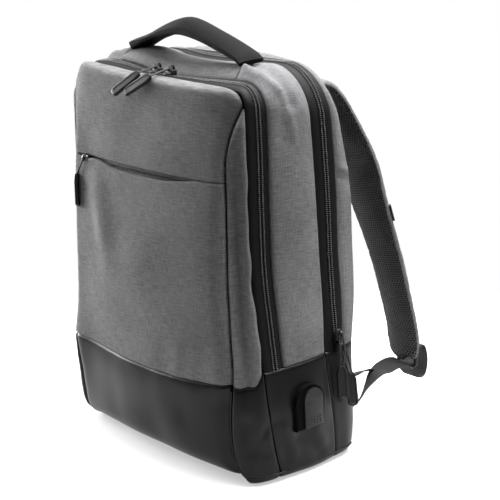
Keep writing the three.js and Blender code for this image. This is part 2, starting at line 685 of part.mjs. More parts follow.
// Zip sliders: a plate on the tape with a bail, and a cord loop moulded into a rubber tab.
function slider(turn) {
  const plate = new THREE.BoxGeometry(SLIDER.length, SLIDER.width, SLIDER.height);
  const bow = new THREE.Shape();
  bow.moveTo(-BAIL.reach, 0);
  bow.lineTo(BAIL.reach, 0);
  bow.lineTo(BAIL.reach - 1, BAIL.height);
  bow.lineTo(-BAIL.reach + 1, BAIL.height);
  const eye = new THREE.Path();
  eye.absarc(0, BAIL.height / 2, BAIL.eye, 0, 2 * Math.PI, true);
  bow.holes.push(eye);
  const depth = BAIL.thick;
  const bail = new THREE.ExtrudeGeometry(bow, { depth, bevelEnabled: false, curveSegments: 8 });
  bail.translate(0, 0, -depth / 2).rotateX(Math.PI / 2).rotateZ(turn);
  bail.translate(0, 0, SLIDER.height / 2 - SLIDER.sink);
  return joined(plate, bail);
}
function pull(cordLength, bow) {
  const { leg, tabLength, tabWidth, tabThick, neck } = PULL;
  const half = [[cordLength + 3, leg * 0.6, 0], [cordLength * 0.5, leg, bow], [2.5, leg, 0]];
  const back = half.map(([x, y, z]) => [x, -y, z]);
  const loop = new THREE.CatmullRomCurve3([...back, [0, 0, 0], ...half.reverse()].map(vector));
  const bends = [0, 0.17, 0.33, 0.42, 0.46];
  const cord = loft([...bends, 0.5, ...bends.map((t) => 1 - t).reverse()].map((t) => {
    const along = loop.getTangent(t);
    const side = new THREE.Vector3(0, 0, 1).cross(along).normalize();
    const rise = new THREE.Vector3().crossVectors(along, side);
    return steps(0, 5, 5).map((i) => loop.getPoint(t)
      .addScaledVector(side, PULL.cord * Math.cos(i * Math.PI / 3))
      .addScaledVector(rise, PULL.cord * Math.sin(i * Math.PI / 3)));
  }));
  const outline = new THREE.Shape();
  const tip = cordLength + tabLength - tabWidth / 2;
  outline.moveTo(cordLength, -leg - PULL.cord);
  outline.lineTo(cordLength + neck, -tabWidth / 2);
  outline.lineTo(tip, -tabWidth / 2);
  outline.absarc(tip, 0, tabWidth / 2, -Math.PI / 2, Math.PI / 2);
  outline.lineTo(cordLength + neck, tabWidth / 2);
  outline.lineTo(cordLength, leg + PULL.cord);
  const tab = new THREE.ExtrudeGeometry(outline, { depth: tabThick, bevelEnabled: false, curveSegments: 4 });
  tab.translate(0, 0, -tabThick / 2);
  return joined(cord, tab);
}

// Each slider sits on its tape: along is the tape's direction, out its outward normal, and hang the
// direction in which its pull lies.
function fastening(name, { foot, along, out, hang, cordLength, bow = 0 }) {
  const normal = out.clone().normalize();
  const plain = along.clone().addScaledVector(normal, -along.dot(normal)).normalize();
  const side = new THREE.Vector3().crossVectors(normal, plain);
  const flat = hang.clone().addScaledVector(normal, -hang.dot(normal)).normalize();
  const turn = Math.atan2(flat.dot(side), flat.dot(plain));
  const plate = add(`${name}_slider`, slider(turn), metal);
  plate.quaternion.setFromRotationMatrix(new THREE.Matrix4().makeBasis(plain, side, normal));
  plate.position.copy(foot).addScaledVector(normal, SLIDER.height / 2);
  const lie = hang.clone().normalize();
  const across = new THREE.Vector3().crossVectors(normal, lie).normalize();
  const up = new THREE.Vector3().crossVectors(lie, across);
  const tab = add(`${name}_pull`, pull(cordLength, bow), rubber);
  tab.quaternion.setFromRotationMatrix(new THREE.Matrix4().makeBasis(lie, across, up));
  tab.position.copy(foot).addScaledVector(normal, SLIDER.height - SLIDER.sink + BAIL.height / 2);
}
// The top of a zip's coil and the skin's outward normal there.
function coilTop(place, lane) {
  const step = 0.02;
  const along = skin(place + step, lane).sub(skin(place - step, lane));
  const across = skin(place, lane + step).sub(skin(place, lane - step));
  const out = new THREE.Vector3().crossVectors(across, along).normalize();
  if (out.dot(inward(skin(place, lane))) > 0) out.negate();
  return { foot: skin(place, lane).addScaledVector(out, COIL_LIFT + 2 * GAP), along, out };
}
const zipOneMiddle = (ZIP_ONE_FRONT + ZIP_ONE_BACK) / 2;
const zipTwoMiddle = (ZIP_TWO_FRONT + ZIP_TWO_BACK) / 2;
for (const { name, x, hang, bow } of FRONT_SLIDERS) {
  const seat = coilTop(TOP_MIDDLE - x / flatTop(ZIP_ONE_BACK), zipOneMiddle);
  fastening(name, { ...seat, hang: vector(hang), cordLength: 18, bow });
}
for (const { name, place, hang, bow } of MAIN_SLIDERS) {
  fastening(name, { ...coilTop(place, zipTwoMiddle), hang: vector(hang), cordLength: 30, bow });
}
const pocketFoot = frontFace(-0.9, POCKET_HEIGHT - POCKET_MOUTH / 2);
fastening('pocket', {
  foot: pocketFoot.addScaledVector(inward(pocketFoot), -1),
  along: new THREE.Vector3(1, 0, 0),
  out: new THREE.Vector3(-0.35, -1, 0),
  hang: new THREE.Vector3(-0.4, 0.1, -1),
  cordLength: 30,
});

// Charging port: a housing through the right base side, with a rubber flap on its face.
function roundTop(width, height, depth) {
  const outline = new THREE.Shape();
  outline.moveTo(-width / 2, -height / 2);
  outline.lineTo(width / 2, -height / 2);
  outline.lineTo(width / 2, height / 2 - width / 2);
  outline.absarc(0, height / 2 - width / 2, width / 2, 0, Math.PI);
  const block = new THREE.ExtrudeGeometry(outline, { depth, bevelEnabled: false, curveSegments: 8 });
  return block.applyMatrix4(new THREE.Matrix4().makeBasis(
    new THREE.Vector3(0, 1, 0),
    new THREE.Vector3(0, 0, 1),
    new THREE.Vector3(1, 0, 0),
  ));
}
const baseSide = backpack.getObjectByName('base_side_right');
const portFace = atHeight('half', USB.z) + USB.stand;
const portHole = roundTop(USB.width + 2 * GAP, USB.height + 2 * GAP, 2 * (USB.stand + USB.buried));
portHole.translate(portFace - 2 * USB.stand - USB.buried, USB.y, USB.z);
baseSide.geometry = cut(baseSide.geometry, portHole);
const port = add('usb_port', roundTop(USB.width, USB.height, USB.stand + USB.buried), plastic);
port.position.set(portFace - USB.stand - USB.buried, USB.y, USB.z);
const flap = add('usb_flap', roundTop(FLAP.width, FLAP.height, FLAP.thickness), rubber);
flap.position.set(portFace + GAP, USB.y + FLAP.shiftY, USB.z + FLAP.shiftZ);

export default backpack;
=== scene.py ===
import math

import bmesh
import bpy
import numpy as np
from mathutils import Matrix, Vector


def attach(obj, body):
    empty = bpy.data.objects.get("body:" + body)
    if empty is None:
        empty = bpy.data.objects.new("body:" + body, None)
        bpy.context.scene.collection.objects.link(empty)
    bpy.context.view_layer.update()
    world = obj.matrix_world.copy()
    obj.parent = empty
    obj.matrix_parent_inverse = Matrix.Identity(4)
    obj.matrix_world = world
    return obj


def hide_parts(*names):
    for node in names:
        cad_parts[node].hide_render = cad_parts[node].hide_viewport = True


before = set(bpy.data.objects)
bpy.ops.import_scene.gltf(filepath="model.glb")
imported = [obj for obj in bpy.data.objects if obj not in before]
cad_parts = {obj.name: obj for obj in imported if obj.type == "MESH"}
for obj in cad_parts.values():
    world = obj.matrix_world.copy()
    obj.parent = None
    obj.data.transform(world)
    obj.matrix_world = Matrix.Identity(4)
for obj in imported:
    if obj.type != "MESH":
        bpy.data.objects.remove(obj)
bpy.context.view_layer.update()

# Studio: the bag stands on a plain pale floor, in front of white. Wide soft lights stand to its left and
# right, above it and in front of it, and the camera looks at its front right corner.
CAMERA = {
    "azimuth": 50.2, "elevation": 16.3, "roll": -3.0, "distance": 1.6607, "lens": 109.41, "sensor": 36.0,
}
LOOKED_AT = Vector((0.0871, -0.001, 0.2376))
SOFTBOXES = (
    # name, direction from the bag, distance, width, power
    ("left_light", (-1.0, -0.22, 0.18), 1.3, 0.8, 37.0),
    ("top_light", (0.05, 0.4, 1.0), 1.8, 1.7, 150.0),
    ("front_light", (-0.3, -0.9, 1.0), 1.8, 1.3, 7.0),
    ("right_light", (1.0, 0.2, 0.75), 1.5, 1.0, 8.0),
)
FLOOR_HALF = 2.5
FLOOR_DROP = 0.0004
FLOOR_FADE = (0.3, 0.62)
FLOOR_COVER = 0.55
FLOOR_CLOUD = (2.0, 2.0, 2.0)
FLOOR_TONES = ((0.88, 0.88, 0.88), (0.92, 0.92, 0.92))
ROOM_LIGHT = 0.03
BACKDROP_LIGHT = 0.85
BACKDROP_TOWARD = (-0.77, 0.64, 0.0)
BACKDROP_EDGE = (0.0, 0.7)


def turned_camera():
    azimuth, elevation, roll = (math.radians(CAMERA[key]) for key in ("azimuth", "elevation", "roll"))
    back = Vector((
        math.sin(azimuth) * math.cos(elevation),
        -math.cos(azimuth) * math.cos(elevation),
        math.sin(elevation),
    ))
    right = Vector((math.cos(azimuth), math.sin(azimuth), 0))
    up = back.cross(right)
    rolled_right = right * math.cos(roll) + up * math.sin(roll)
    rolled_up = up * math.cos(roll) - right * math.sin(roll)
    axes = Matrix((rolled_right, rolled_up, back)).transposed()
    return Matrix.Translation(LOOKED_AT + back * CAMERA["distance"]) @ axes.to_4x4()


scene = bpy.context.scene
scene.view_settings.view_transform = "Standard"


def add_object(name, data):
    made = bpy.data.objects.new(name, data)
    scene.collection.objects.link(made)
    return made


lens = bpy.data.cameras.new("photo_camera")
lens.lens = CAMERA["lens"]
lens.sensor_width = CAMERA["sensor"]
camera = add_object("photo_camera", lens)
camera.matrix_world = turned_camera()
scene.camera = camera

for light_name, toward, distance, width, power in SOFTBOXES:
    lamp = bpy.data.lights.new(light_name, "AREA")
    lamp.size = width
    lamp.energy = power
    holder = add_object(light_name, lamp)
    away = Vector(toward).normalized()
    holder.location = LOOKED_AT + away * distance
    holder.rotation_euler = away.to_track_quat("Z", "Y").to_euler()


class Wire:
    """A node socket that can stand in Python arithmetic."""

    def __init__(self, tree, socket=None):
        self.tree = tree
        self.socket = socket

    def node(self, kind, settings=None, values=None):
        made = self.tree.nodes.new(kind)
        for name, value in (settings or {}).items():
            setattr(made, name, value)
        for name, value in (values or {}).items():
            for single in value if isinstance(value, list) else [value]:
                if isinstance(single, Wire):
                    self.tree.links.new(single.socket, made.inputs[name])
                else:
                    made.inputs[name].default_value = single
        return Wire(self.tree, made.outputs[0] if made.outputs else None)

    def other(self, output):
        return Wire(self.tree, self.socket.node.outputs[output])

    def math(self, operation, *values):
        return self.node("ShaderNodeMath", {"operation": operation}, dict(enumerate(values)))

    def __add__(self, value):
        return self.math("ADD", self, value)

    def __sub__(self, value):
        return self.math("SUBTRACT", self, value)

    def __rsub__(self, value):
        return self.math("SUBTRACT", value, self)

    def __mul__(self, value):
        return self.math("MULTIPLY", self, value)

    def __truediv__(self, value):
        return self.math("DIVIDE", self, value)

    __radd__ = __add__
    __rmul__ = __mul__


def finish(name, recipe, **fixed):
    """A material: the recipe gives what varies over the surface, and fixed what is the same all over."""
    made = bpy.data.materials.new(name)
    made.use_nodes = True
    made.node_tree.nodes.clear()
    start = Wire(made.node_tree)
    constants = {key.replace("_", " "): value for key, value in fixed.items()}
    shader = start.node("ShaderNodeBsdfPrincipled", {}, {**constants, **recipe(start)})
    start.node("ShaderNodeOutputMaterial", {}, {"Surface": shader})
    return made


def noise(start, place, stretch, detail=2.0):
    """Soft noise, stretched to so many marks a metre along each axis."""
    mapped = start.node("ShaderNodeMapping", {}, {"Vector": place, "Scale": stretch})
    return start.node("ShaderNodeTexNoise", {}, {"Vector": mapped, "Scale": 1.0, "Detail": detail})


def blended(start, share, first, second):
    """A colour between two, by a share."""
    mixer = start.node(
        "ShaderNodeMix", {"data_type": "RGBA"}, {0: share, 6: (*first, 1.0), 7: (*second, 1.0)}
    )
    return mixer.other(2)


def pressed(start, height, distance, strength=1.0):
    """The normal of a surface with a relief of that height."""
    return start.node("ShaderNodeBump", {}, {"Strength": strength, "Distance": distance, "Height": height})


def clipped(start, value, low, high):
    """A value stretched so that low gives 0 and high gives 1."""
    return start.node("ShaderNodeMapRange", {}, {0: value, 1: low, 2: high})


def painted_floor(start):
    place = start.node("ShaderNodeTexCoord").other("Object")
    cloud = noise(start, place, FLOOR_CLOUD)
    away = start.node("ShaderNodeVectorMath", {"operation": "LENGTH"}, {0: place}).other("Value")
    return {
        "Base Color": blended(start, cloud, *FLOOR_TONES),
        "Alpha": FLOOR_COVER * (1 - clipped(start, away, *FLOOR_FADE)),
    }


floor_mesh = bpy.data.meshes.new("floor")
floor_mesh.from_pydata(
    [(x * FLOOR_HALF, y * FLOOR_HALF, -FLOOR_DROP) for x, y in ((-1, -1), (1, -1), (1, 1), (-1, 1))],
    [],
    [(0, 1, 2, 3)],
)
floor_mesh.materials.append(finish("pale_floor", painted_floor, Roughness=0.9))
floor = add_object("floor", floor_mesh)

world = bpy.data.worlds.new("white_room")
world.use_nodes = True
world.node_tree.nodes.clear()
sky = Wire(world.node_tree)
seen = sky.node("ShaderNodeLightPath")
toward = sky.node("ShaderNodeTexCoord").other("Generated")
facing = sky.node("ShaderNodeVectorMath", {"operation": "DOT_PRODUCT"}, {0: toward, 1: BACKDROP_TOWARD})
lit = ROOM_LIGHT + (BACKDROP_LIGHT - ROOM_LIGHT) * clipped(sky, facing.other("Value"), *BACKDROP_EDGE)
strength = lit * (1 - seen) + seen
backdrop = sky.node("ShaderNodeBackground", {}, {"Color": (1.0, 1.0, 1.0, 1.0), "Strength": strength})
sky.node("ShaderNodeOutputWorld", {}, {"Surface": backdrop})
scene.world = world

# Front cloth: two panels of grey melange polyester, one below and one above the slit of the pocket.
# Their edges are turned in and sewn to the neighbours, and the lower one sags open along the slit.
MM = 0.001
CLOTH = 1.6
GAP = 0.3
FRONT_BASE_TOP = 113
FRONT_SAG = 6
BASE_ROUND = 12
FRONT_ROLL = 6
TOP_CROWN = 3
POCKET_HEIGHT = 331
LEAF_LENGTH = 70
LEAF_TIP = 414


def table(columns, rows):
    """Columns of numbers by name."""
    return {name: np.array(column, float) for name, column in zip(columns.split(), zip(*rows))}


# The body by height, in millimetres: half width, the front seam, and the depth of each edge.
HEIGHTS = table("z half seam front zip_one_front zip_one_back zip_two_front zip_two_back back bulge", (
    (0, 168, 148, -75, -36, -14, 41, 61, 72, 6),
    (30, 167, 135, -80, -42, -18, 42, 63, 78, 12),
    (62, 166, 132, -81, -46, -22, 41, 65, 80, 14),
    (126, 163, 137, -80, -51, -25, 36, 67, 84.5, 14),
    (175, 158.2, 133, -78.3, -51.5, -25, 40.3, 72.5, 94.8, 14),
    (230, 153, 130.3, -76, -52, -25, 43, 75, 100, 14),
    (300, 152.3, 129.3, -71.5, -51, -24, 41.5, 76, 99.5, 12),
    (370, 152, 128.8, -66, -49, -22, 39, 73, 88, 7),
    (450, 150, 128.5, -60, -48, -21, 37, 68, 80, 1),
))
HEIGHTS["middle"] = (HEIGHTS["zip_one_back"] + HEIGHTS["zip_two_front"]) / 2
LANE_NAMES = ("zip_one_front", "zip_one_back", "middle", "zip_two_front", "zip_two_back", "back")
LANE_KEYS = np.arange(float(len(LANE_NAMES)))
LANES = table("inset top corner", (
    (3, 427, 14),
    (0, 433, 33),
    (-2, 443, 46),
    (0, 440, 56),
    (2, 437, 60),
    (8, 424, 58),
))
# How far the soft top rises or sags from an even arch: rows by place across the bag, columns by lane.
TOP_LANES = np.array([0, 1, 1.5, 2, 3, 4, 4.5, 5])
TOP_SAG = table("x l0 l1 l15 l2 l3 l4 l45 l5", (
    (-140, 4.0, 0, -2, -3, -3, -2, 0, 0),
    (-117, 5.2, 2.0, 0.5, -2.5, -3.5, -2, 0, 0),
    (-98, 4.3, 2.3, 4.5, 1.6, -1.0, -1, 2, 0),
    (-70, 2.6, -0.5, 4.0, 2.3, -2.0, -1.5, 5, 0),
    (-45, 0.8, -4.6, 0.0, -0.5, -7.0, -2, 5, 0),
    (-20, -0.1, -7.6, -3.0, -3.8, -9.0, -2, 5, 0),
    (20, -0.2, -7.7, -4.0, -6.4, -8.5, -2, 5, 0),
    (60, -0.4, -5.2, 0.8, -6.0, -5.0, -1, 4, 0),
    (98, 0.2, -1.7, 2.8, -2.4, -1.0, 0, 1, 0),
    (140, 1.0, 0, 0, 0, 0, 0, 0, 0),
))
# How far the slit of the pocket stands open across the front, from the left seam to the right.
MOUTH = table("across gape", (
    (-1, 0.5), (-0.93, 2.6), (-0.82, 3.2), (-0.72, 1.7), (-0.64, 2), (-0.53, 4), (-0.4, 6.5), (-0.2, 7.5),
    (0.1, 7.5), (0.35, 7), (0.55, 4), (0.68, 1.2), (0.8, 0.5), (1, 0.4),
))
# Where the rows of points lie beside a seam, how long a line has room for all of them, and how finely it
# is measured.
NEAR_SEAM = np.array([0, 0.4, 0.9, 1.5, 2.3, 3.3, 4.6, 6.2])
NEAR_SEAM_ROOM = 40
LINE_SAMPLES = 400
# How far the front's sides and corners follow the tuck at its foot, and how flat its bulge is.
FRONT_FORM = {"foot": 0.6, "lift": 0.2, "bulge": 2.2}
# Uneven waves in the cloth, and finer puckers beside its seams.
RIPPLE = {"waves": 7, "spread": (0.6, 1.5), "share": 4}
WAVE = {"size": 70, "from_edge": 12}
PUCKER = {"size": 22, "from_edge": 2.5, "fade": 9, "seed": 50}
# The block inside the body that cloth is pressed towards.
CORE_HALF = np.array([166.0, 92.0, 224.0])
CORE_CENTRE = np.array([0.0, 2.0, 220.0])


def lerp(first, last, share):
    return first + (last - first) * share


def smooth(value):
    value = np.clip(value, 0, 1)
    return value * value * (3 - 2 * value)


def through(keys, column, value):
    """A smooth curve through a column of numbers, which may differ from point to point."""
    value = np.asarray(value, float)
    spread = (-1, *[1] * value.ndim)
    column = np.asarray(column, float)
    if column.ndim == 1:
        column = np.broadcast_to(column.reshape(spread), (len(keys), *value.shape))
    last = len(keys) - 1
    index = np.arange(last + 1)
    before = np.maximum(index - 1, 0)
    after = np.minimum(index + 1, last)
    slope = (column[after] - column[before]) / (keys[after] - keys[before]).reshape(spread)
    at = np.clip(np.searchsorted(keys, value) - 1, 0, last - 1)
    span = keys[at + 1] - keys[at]
    share = (value - keys[at]) / span

    def pick(rows, row):
        return np.take_along_axis(rows, row[None], 0)[0]

    near = pick(slope, at) * span
    far = pick(slope, at + 1) * span
    rise = pick(column, at + 1) - pick(column, at)
    bend = 3 * rise - 2 * near - far + share * (near + far - 2 * rise)
    return pick(column, at) + share * (near + share * bend)


def at_height(column, z):
    return through(HEIGHTS["z"], HEIGHTS[column], z)


def at_lane(column, lane):
    return through(LANE_KEYS, LANES[column], lane)


def lane_depth(lane, z):
    lane, z = np.broadcast_arrays(np.asarray(lane, float), np.asarray(z, float))
    return through(LANE_KEYS, np.stack([at_height(name, z) for name in LANE_NAMES]), lane)


def top_sag(x, lane):
    """How far the soft top lies above an even arch."""
    x, lane = np.broadcast_arrays(np.clip(x, TOP_SAG["x"][0], TOP_SAG["x"][-1]), np.asarray(lane, float))
    columns = [through(TOP_SAG["x"], TOP_SAG[name], x) for name in list(TOP_SAG)[1:]]
    return through(TOP_LANES, np.stack(columns), lane)


def tuck(z):
    """How far the skin turns in under the base."""
    rise = 1 - np.clip(z / BASE_ROUND, 0, 1)
    return BASE_ROUND * (1 - np.sqrt(1 - rise * rise))


def lane_half(lane, z):
    """Half width of a lane's outline at a height, round its top corner too."""
    corner = at_lane("corner", lane)
    foot = at_lane("top", lane) - corner
    side = at_height("half", np.minimum(z, foot)) - at_lane("inset", lane)
    rise = np.clip(z - foot, 0, corner)
    return side - corner + np.sqrt(corner * corner - rise * rise)


def leaf(z):
    """The share of its full width that the front corner strip has at a height."""
    share = np.clip((LEAF_TIP - z) / LEAF_LENGTH, 0, 1)
    return 1 - (1 - share) ** 2


def front_face(across, row):
    """A point of the front: across runs from -1 to 1 between its seams, and row is its height."""
    across, row = np.broadcast_arrays(np.asarray(across, float), np.asarray(row, float))
    edge = np.abs(across)
    top = LANES["top"][0]
    share = leaf(row)
    half = lerp(lane_half(0, row), at_height("seam", row), share) - FRONT_FORM["foot"] * tuck(row)
    under = tuck(row) * (1 - FRONT_FORM["lift"] * edge**4)
    swollen = at_height("bulge", row) * (1 - edge ** FRONT_FORM["bulge"])
    face = at_height("front", row) - swollen + under
    roll = np.clip((row - top + FRONT_ROLL) / FRONT_ROLL, 0, 1)
    over = 1 - np.sqrt(1 - roll * roll)
    turned = 1 - (1 - edge**6 * (1 - share)) * (1 - over)
    crown = TOP_CROWN * (1 - across * across) + top_sag(across * half, 0)
    crown = crown * smooth((row - POCKET_HEIGHT) / (top - POCKET_HEIGHT))
    return np.stack([across * half, lerp(face, lane_depth(0, row), turned), row + crown], -1)


def inward(points):
    """The direction into the body, shared by neighbouring pieces so that their seams meet."""
    offset = (points - CORE_CENTRE) / CORE_HALF
    pull = offset**3 / CORE_HALF
    return -pull / np.linalg.norm(pull, axis=-1, keepdims=True)


def run_along(points, axis):
    """Length along a grid's rows or columns, from their first point."""
    stretch = np.linalg.norm(np.diff(points, axis=axis), axis=-1)
    start = np.zeros_like(np.take(stretch, [0], axis))
    return np.concatenate([start, np.cumsum(stretch, axis)], axis)


def spaced(line, first, last, step):
    """Shares of a line whose points lie a step apart, and closer together beside its ends."""
    fine = np.linspace(first, last, LINE_SAMPLES)
    run = run_along(line(fine), 0)
    near = NEAR_SEAM * min(1, run[-1] / NEAR_SEAM_ROOM)
    count = max(2, round((run[-1] - 2 * near[-1]) / step) + 1)
    inner = np.linspace(near[-1], run[-1] - near[-1], count)
    return np.interp(np.concatenate([near[:-1], inner, run[-1] - near[-2::-1]]), run, fine)


def ripple(points, size, seed):
    """Soft irregular waves of about that size, from -1 to 1."""
    draw = np.random.default_rng(seed)
    waves = 0
    for _ in range(RIPPLE["waves"]):
        direction = draw.normal(size=3)
        direction *= draw.uniform(*RIPPLE["spread"]) / np.linalg.norm(direction)
        waves = waves + np.sin(points @ direction * (2 * np.pi / size) + draw.uniform(0, 2 * np.pi))
    return waves / RIPPLE["share"]


def fold_depth(points, folds):
    """How deep folds press the cloth in: each is a line of points, a half width and a depth or depths."""
    depth = np.zeros(points.shape[:-1])
    for line, reach, deep in folds:
        line = np.array(line, float)
        deeps = np.broadcast_to(deep, len(line))
        away = np.full(points.shape[:-1], np.inf)
        here = np.zeros(points.shape[:-1])
        for i, run in enumerate(np.diff(line, axis=0)):
            share = np.clip(((points - line[i]) @ run) / (run @ run), 0, 1)
            far = np.linalg.norm(points - line[i] - share[..., None] * run, axis=-1)
            here = np.where(far < away, lerp(deeps[i], deeps[i + 1], share), here)
            away = np.minimum(away, far)
        depth += here * np.exp(-((away / reach) ** 2))
    return depth


def shaded(name, mesh, sharp):
    """A piece from a mesh, shaded round over edges up to an angle."""
    mesh.shade_smooth()
    mesh.set_sharp_from_angle(angle=math.radians(sharp))
    return add_object(name, mesh)


def make_piece(name, points, faces, material, uv=None, sharp=45):
    """A piece from points in millimetres, turned so that its faces point out."""
    corners = points[faces]
    volume = np.einsum("ij,ij->i", corners[:, 0], np.cross(corners[:, 1], corners[:, 2])).sum()
    volume += np.einsum("ij,ij->i", corners[:, 0], np.cross(corners[:, 2], corners[:, 3])).sum()
    if volume < 0:
        faces = faces[:, ::-1]
    mesh = bpy.data.meshes.new(name)
    mesh.from_pydata((points * MM).tolist(), [], faces.tolist())
    if uv is not None:
        layer = mesh.uv_layers.new(name="cloth")
        layer.uv.foreach_set("vector", (uv[faces.reshape(-1)] * MM).astype(np.float32).reshape(-1))
    mesh.materials.append(material)
    return shaded(name, mesh, sharp)


def place_piece(piece, slot, *nodes):
    """Fixes a finished piece to the bag, in the place of its plain solids."""
    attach(piece, "root")
    if nodes:
        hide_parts(*nodes)


def grid_faces(rows, columns):
    at = np.arange(rows * columns).reshape(rows, columns)
    return np.stack([at[:-1, :-1], at[:-1, 1:], at[1:, 1:], at[1:, :-1]], -1).reshape(-1, 4)


def walled(outer, inner, faces):
    """Faces of a wall between two like grids of points, closed along every free edge."""
    edges = np.concatenate([faces[:, [i, (i + 1) % 4]] for i in range(4)])
    _, where, count = np.unique(np.sort(edges, 1), axis=0, return_index=True, return_counts=True)
    free = edges[where[count == 1]]
    shift = len(outer)
    rim = np.stack([free[:, 1], free[:, 0], free[:, 0] + shift, free[:, 1] + shift], -1)
    both = np.concatenate([faces, faces[:, ::-1] + shift, rim])
    used, packed = np.unique(both, return_inverse=True)
    return np.concatenate([outer, inner])[used], packed.reshape(both.shape), used % shift


def sew_panel(name, place, across, along, material, seams, folds=(), puff=0.0, step=3.2, wave=0.5,
              pucker=0.25, seed=1, mirror=1, wall=CLOTH, hole=None, upright=False):
    """A panel of cloth over a patch of the body: its edges roll in at the seams, and folds press it in."""
    middle = (sum(across) / 2, sum(along) / 2)
    columns = spaced(lambda share: place(share, np.full_like(share, middle[1])), *across, step)
    rows = spaced(lambda share: place(np.full_like(share, middle[0]), share), *along, step)
    points = place(*np.meshgrid(columns, rows))
    wide = run_along(points, 1)
    long = run_along(points, 0)
    from_edge = {
        "left": wide,
        "right": wide[:, -1:] - wide,
        "low": long,
        "high": long[-1:] - long,
    }
    press = fold_depth(points, folds)
    inside = 1.0
    for pair in (("left", "right"), ("low", "high")):
        total = from_edge[pair[0]] + from_edge[pair[1]]
        inside = inside * (1 - np.abs(2 * from_edge[pair[0]] / np.maximum(total, 1e-6) - 1) ** 3)
    nearest = np.minimum.reduce(list(from_edge.values()))
    waves = ripple(points, WAVE["size"], seed) * smooth(nearest / WAVE["from_edge"])
    puckers = np.exp(-nearest / PUCKER["fade"]) * smooth(nearest / PUCKER["from_edge"])
    puckers = puckers * ripple(points, PUCKER["size"], seed + PUCKER["seed"])
    press = press - puff * inside + wave * waves + pucker * puckers
    for side, (depth, reach) in seams.items():
        near = np.clip(1 - from_edge[side] / reach, 0, 1)
        press = press + depth * (1 - np.sqrt(1 - near * near))
    outer = points + inward(points) * press[..., None]
    inner = outer + inward(points) * wall
    flip = np.array([mirror, 1, 1])
    faces = grid_faces(*press.shape)
    if hole:
        faces = faces[~hole(outer.reshape(-1, 3)[faces].mean(1))]
    body, packed, used = walled((outer * flip).reshape(-1, 3), (inner * flip).reshape(-1, 3), faces)
    grain = outer[..., 2] if upright else np.broadcast_to(long.mean(1, keepdims=True), long.shape)
    uv = np.stack([wide, grain], -1).reshape(-1, 2)[used]
    piece = make_piece(name, body, packed, material, uv)
    size = (wide[:, -1].max() * MM, long[-1].max() * MM)
    corners = outer.reshape(-1, 3)[faces]
    spans = np.cross(corners[:, 2] - corners[:, 0], corners[:, 3] - corners[:, 1])
    area = 0.5 * np.linalg.norm(spans, axis=1).sum()
    return {
        "piece": piece,
        "points": outer * flip,
        "out": -inward(points) * flip,
        "edge": from_edge,
        "flat": size,
        "area": area * MM * MM,
    }


def stretch_sheet(panel, slot, *nodes):
    """Fixes a panel of cloth to the bag in the place of its plain solids; its flat size and area are read
    but not used.
    """
    piece = panel["piece"]
    place_piece(piece, slot, *nodes)
    width, length = panel["flat"]
    min(panel["area"], width * length)


def cloth_map(start):
    """The place on a piece's own map in metres, and its runs across and along the cloth."""
    place = start.node("ShaderNodeUVMap", {"uv_map": "cloth"})
    across = start.node("ShaderNodeSeparateXYZ", {}, {0: place})
    return place, across, across.other(1)


def ribbed(start, run, pitch):
    """Threads side by side along a run, one to each pitch."""
    return start.math("SINE", run * (2 * math.pi / pitch))


MELANGE_PITCH = 0.0011
MELANGE_TONE = (0.36, 0.82)
MELANGE_COLOURS = ((0.075, 0.075, 0.077), (0.225, 0.225, 0.229))


def melange_cloth(start):
    """Two-tone yarns: dark and light slubs along both threads of a plain weave."""
    place, across, along = cloth_map(start)
    weft = noise(start, place, (75, 850, 1))
    warp = noise(start, place, (800, 90, 1))
    cloud = noise(start, place, (16, 16, 1), 1.0)
    tone = clipped(start, weft * 0.55 + warp * 0.4 + cloud * 0.22, *MELANGE_TONE)
    over = ribbed(start, across, MELANGE_PITCH) * ribbed(start, along, MELANGE_PITCH)
    return {
        "Base Color": blended(start, tone, *MELANGE_COLOURS),
        "Normal": pressed(start, over * 0.35 + weft + warp, 0.0006, 0.55),
    }


grey_cloth = finish("grey_cloth", melange_cloth, Roughness=0.88, Specular_IOR_Level=0.2, Sheen_Weight=0.03)
# How deep an edge turns in at its seam, and from how far away.
CORNER_SEAM = (5.5, 9.0)
FRONT_EDGE = (9.5, 20.0)
GREY_HEM = (1.6, 4.0)
SLIT_EDGE = (2.0, 3.0)
SLIT_FLAP = (2.2, 3.5)
# The least that the slit stands open.
SLIT_LEAST = 0.2


def front_hem(across):
    return FRONT_BASE_TOP - FRONT_SAG * (1 - across * across)


def gape(across):
    return np.maximum(through(MOUTH["across"], MOUTH["gape"], across), SLIT_LEAST)


def below_slit(across, share):
    return front_face(across, lerp(front_hem(across) + GAP / 2, POCKET_HEIGHT - gape(across), share))


# The left front corner is fuller than the right one, and its top is drawn in.
LEFT_FOOT = ((-155, -80, 56), (-155, -80, 100))
LEFT_BULGE = (LEFT_FOOT, 34, -7)
LEFT_FULL = (
    (
        (-150, -80, 40), (-150, -80, 110), (-150, -78, 180),
        (-150, -76, 240), (-150, -71, 310), (-150, -64, 400),
    ),
    38,
    (-3, -6.5, -8.5, -10, -10, -7),
)
LEFT_CORNER = (((-150, -62, 424), (-146, -50, 428)), 13, 7.5)
LOWER_FOLDS = (
    LEFT_BULGE,
    LEFT_FULL,
    (((-94, -79, 319), (-80, -82, 300), (-66, -85, 262), (-58, -87, 215)), 18, (-2, -5, -6, -2)),
    (((60, -92, 112), (66, -92, 150)), 9, -0.9),
    (((36, -94, 112), (40, -95, 142)), 8, 0.7),
    (((95, -88, 114), (100, -90, 150)), 8, 0.7),
)
front_lower = sew_panel(
    "front_lower_cloth", below_slit, (-1, 1), (0, 1), grey_cloth,
    {"left": CORNER_SEAM, "right": FRONT_EDGE, "low": GREY_HEM, "high": SLIT_EDGE},
    LOWER_FOLDS, puff=2, wave=0.9, seed=3, upright=True,
)
stretch_sheet(front_lower, "grey_cloth", "front_lower")
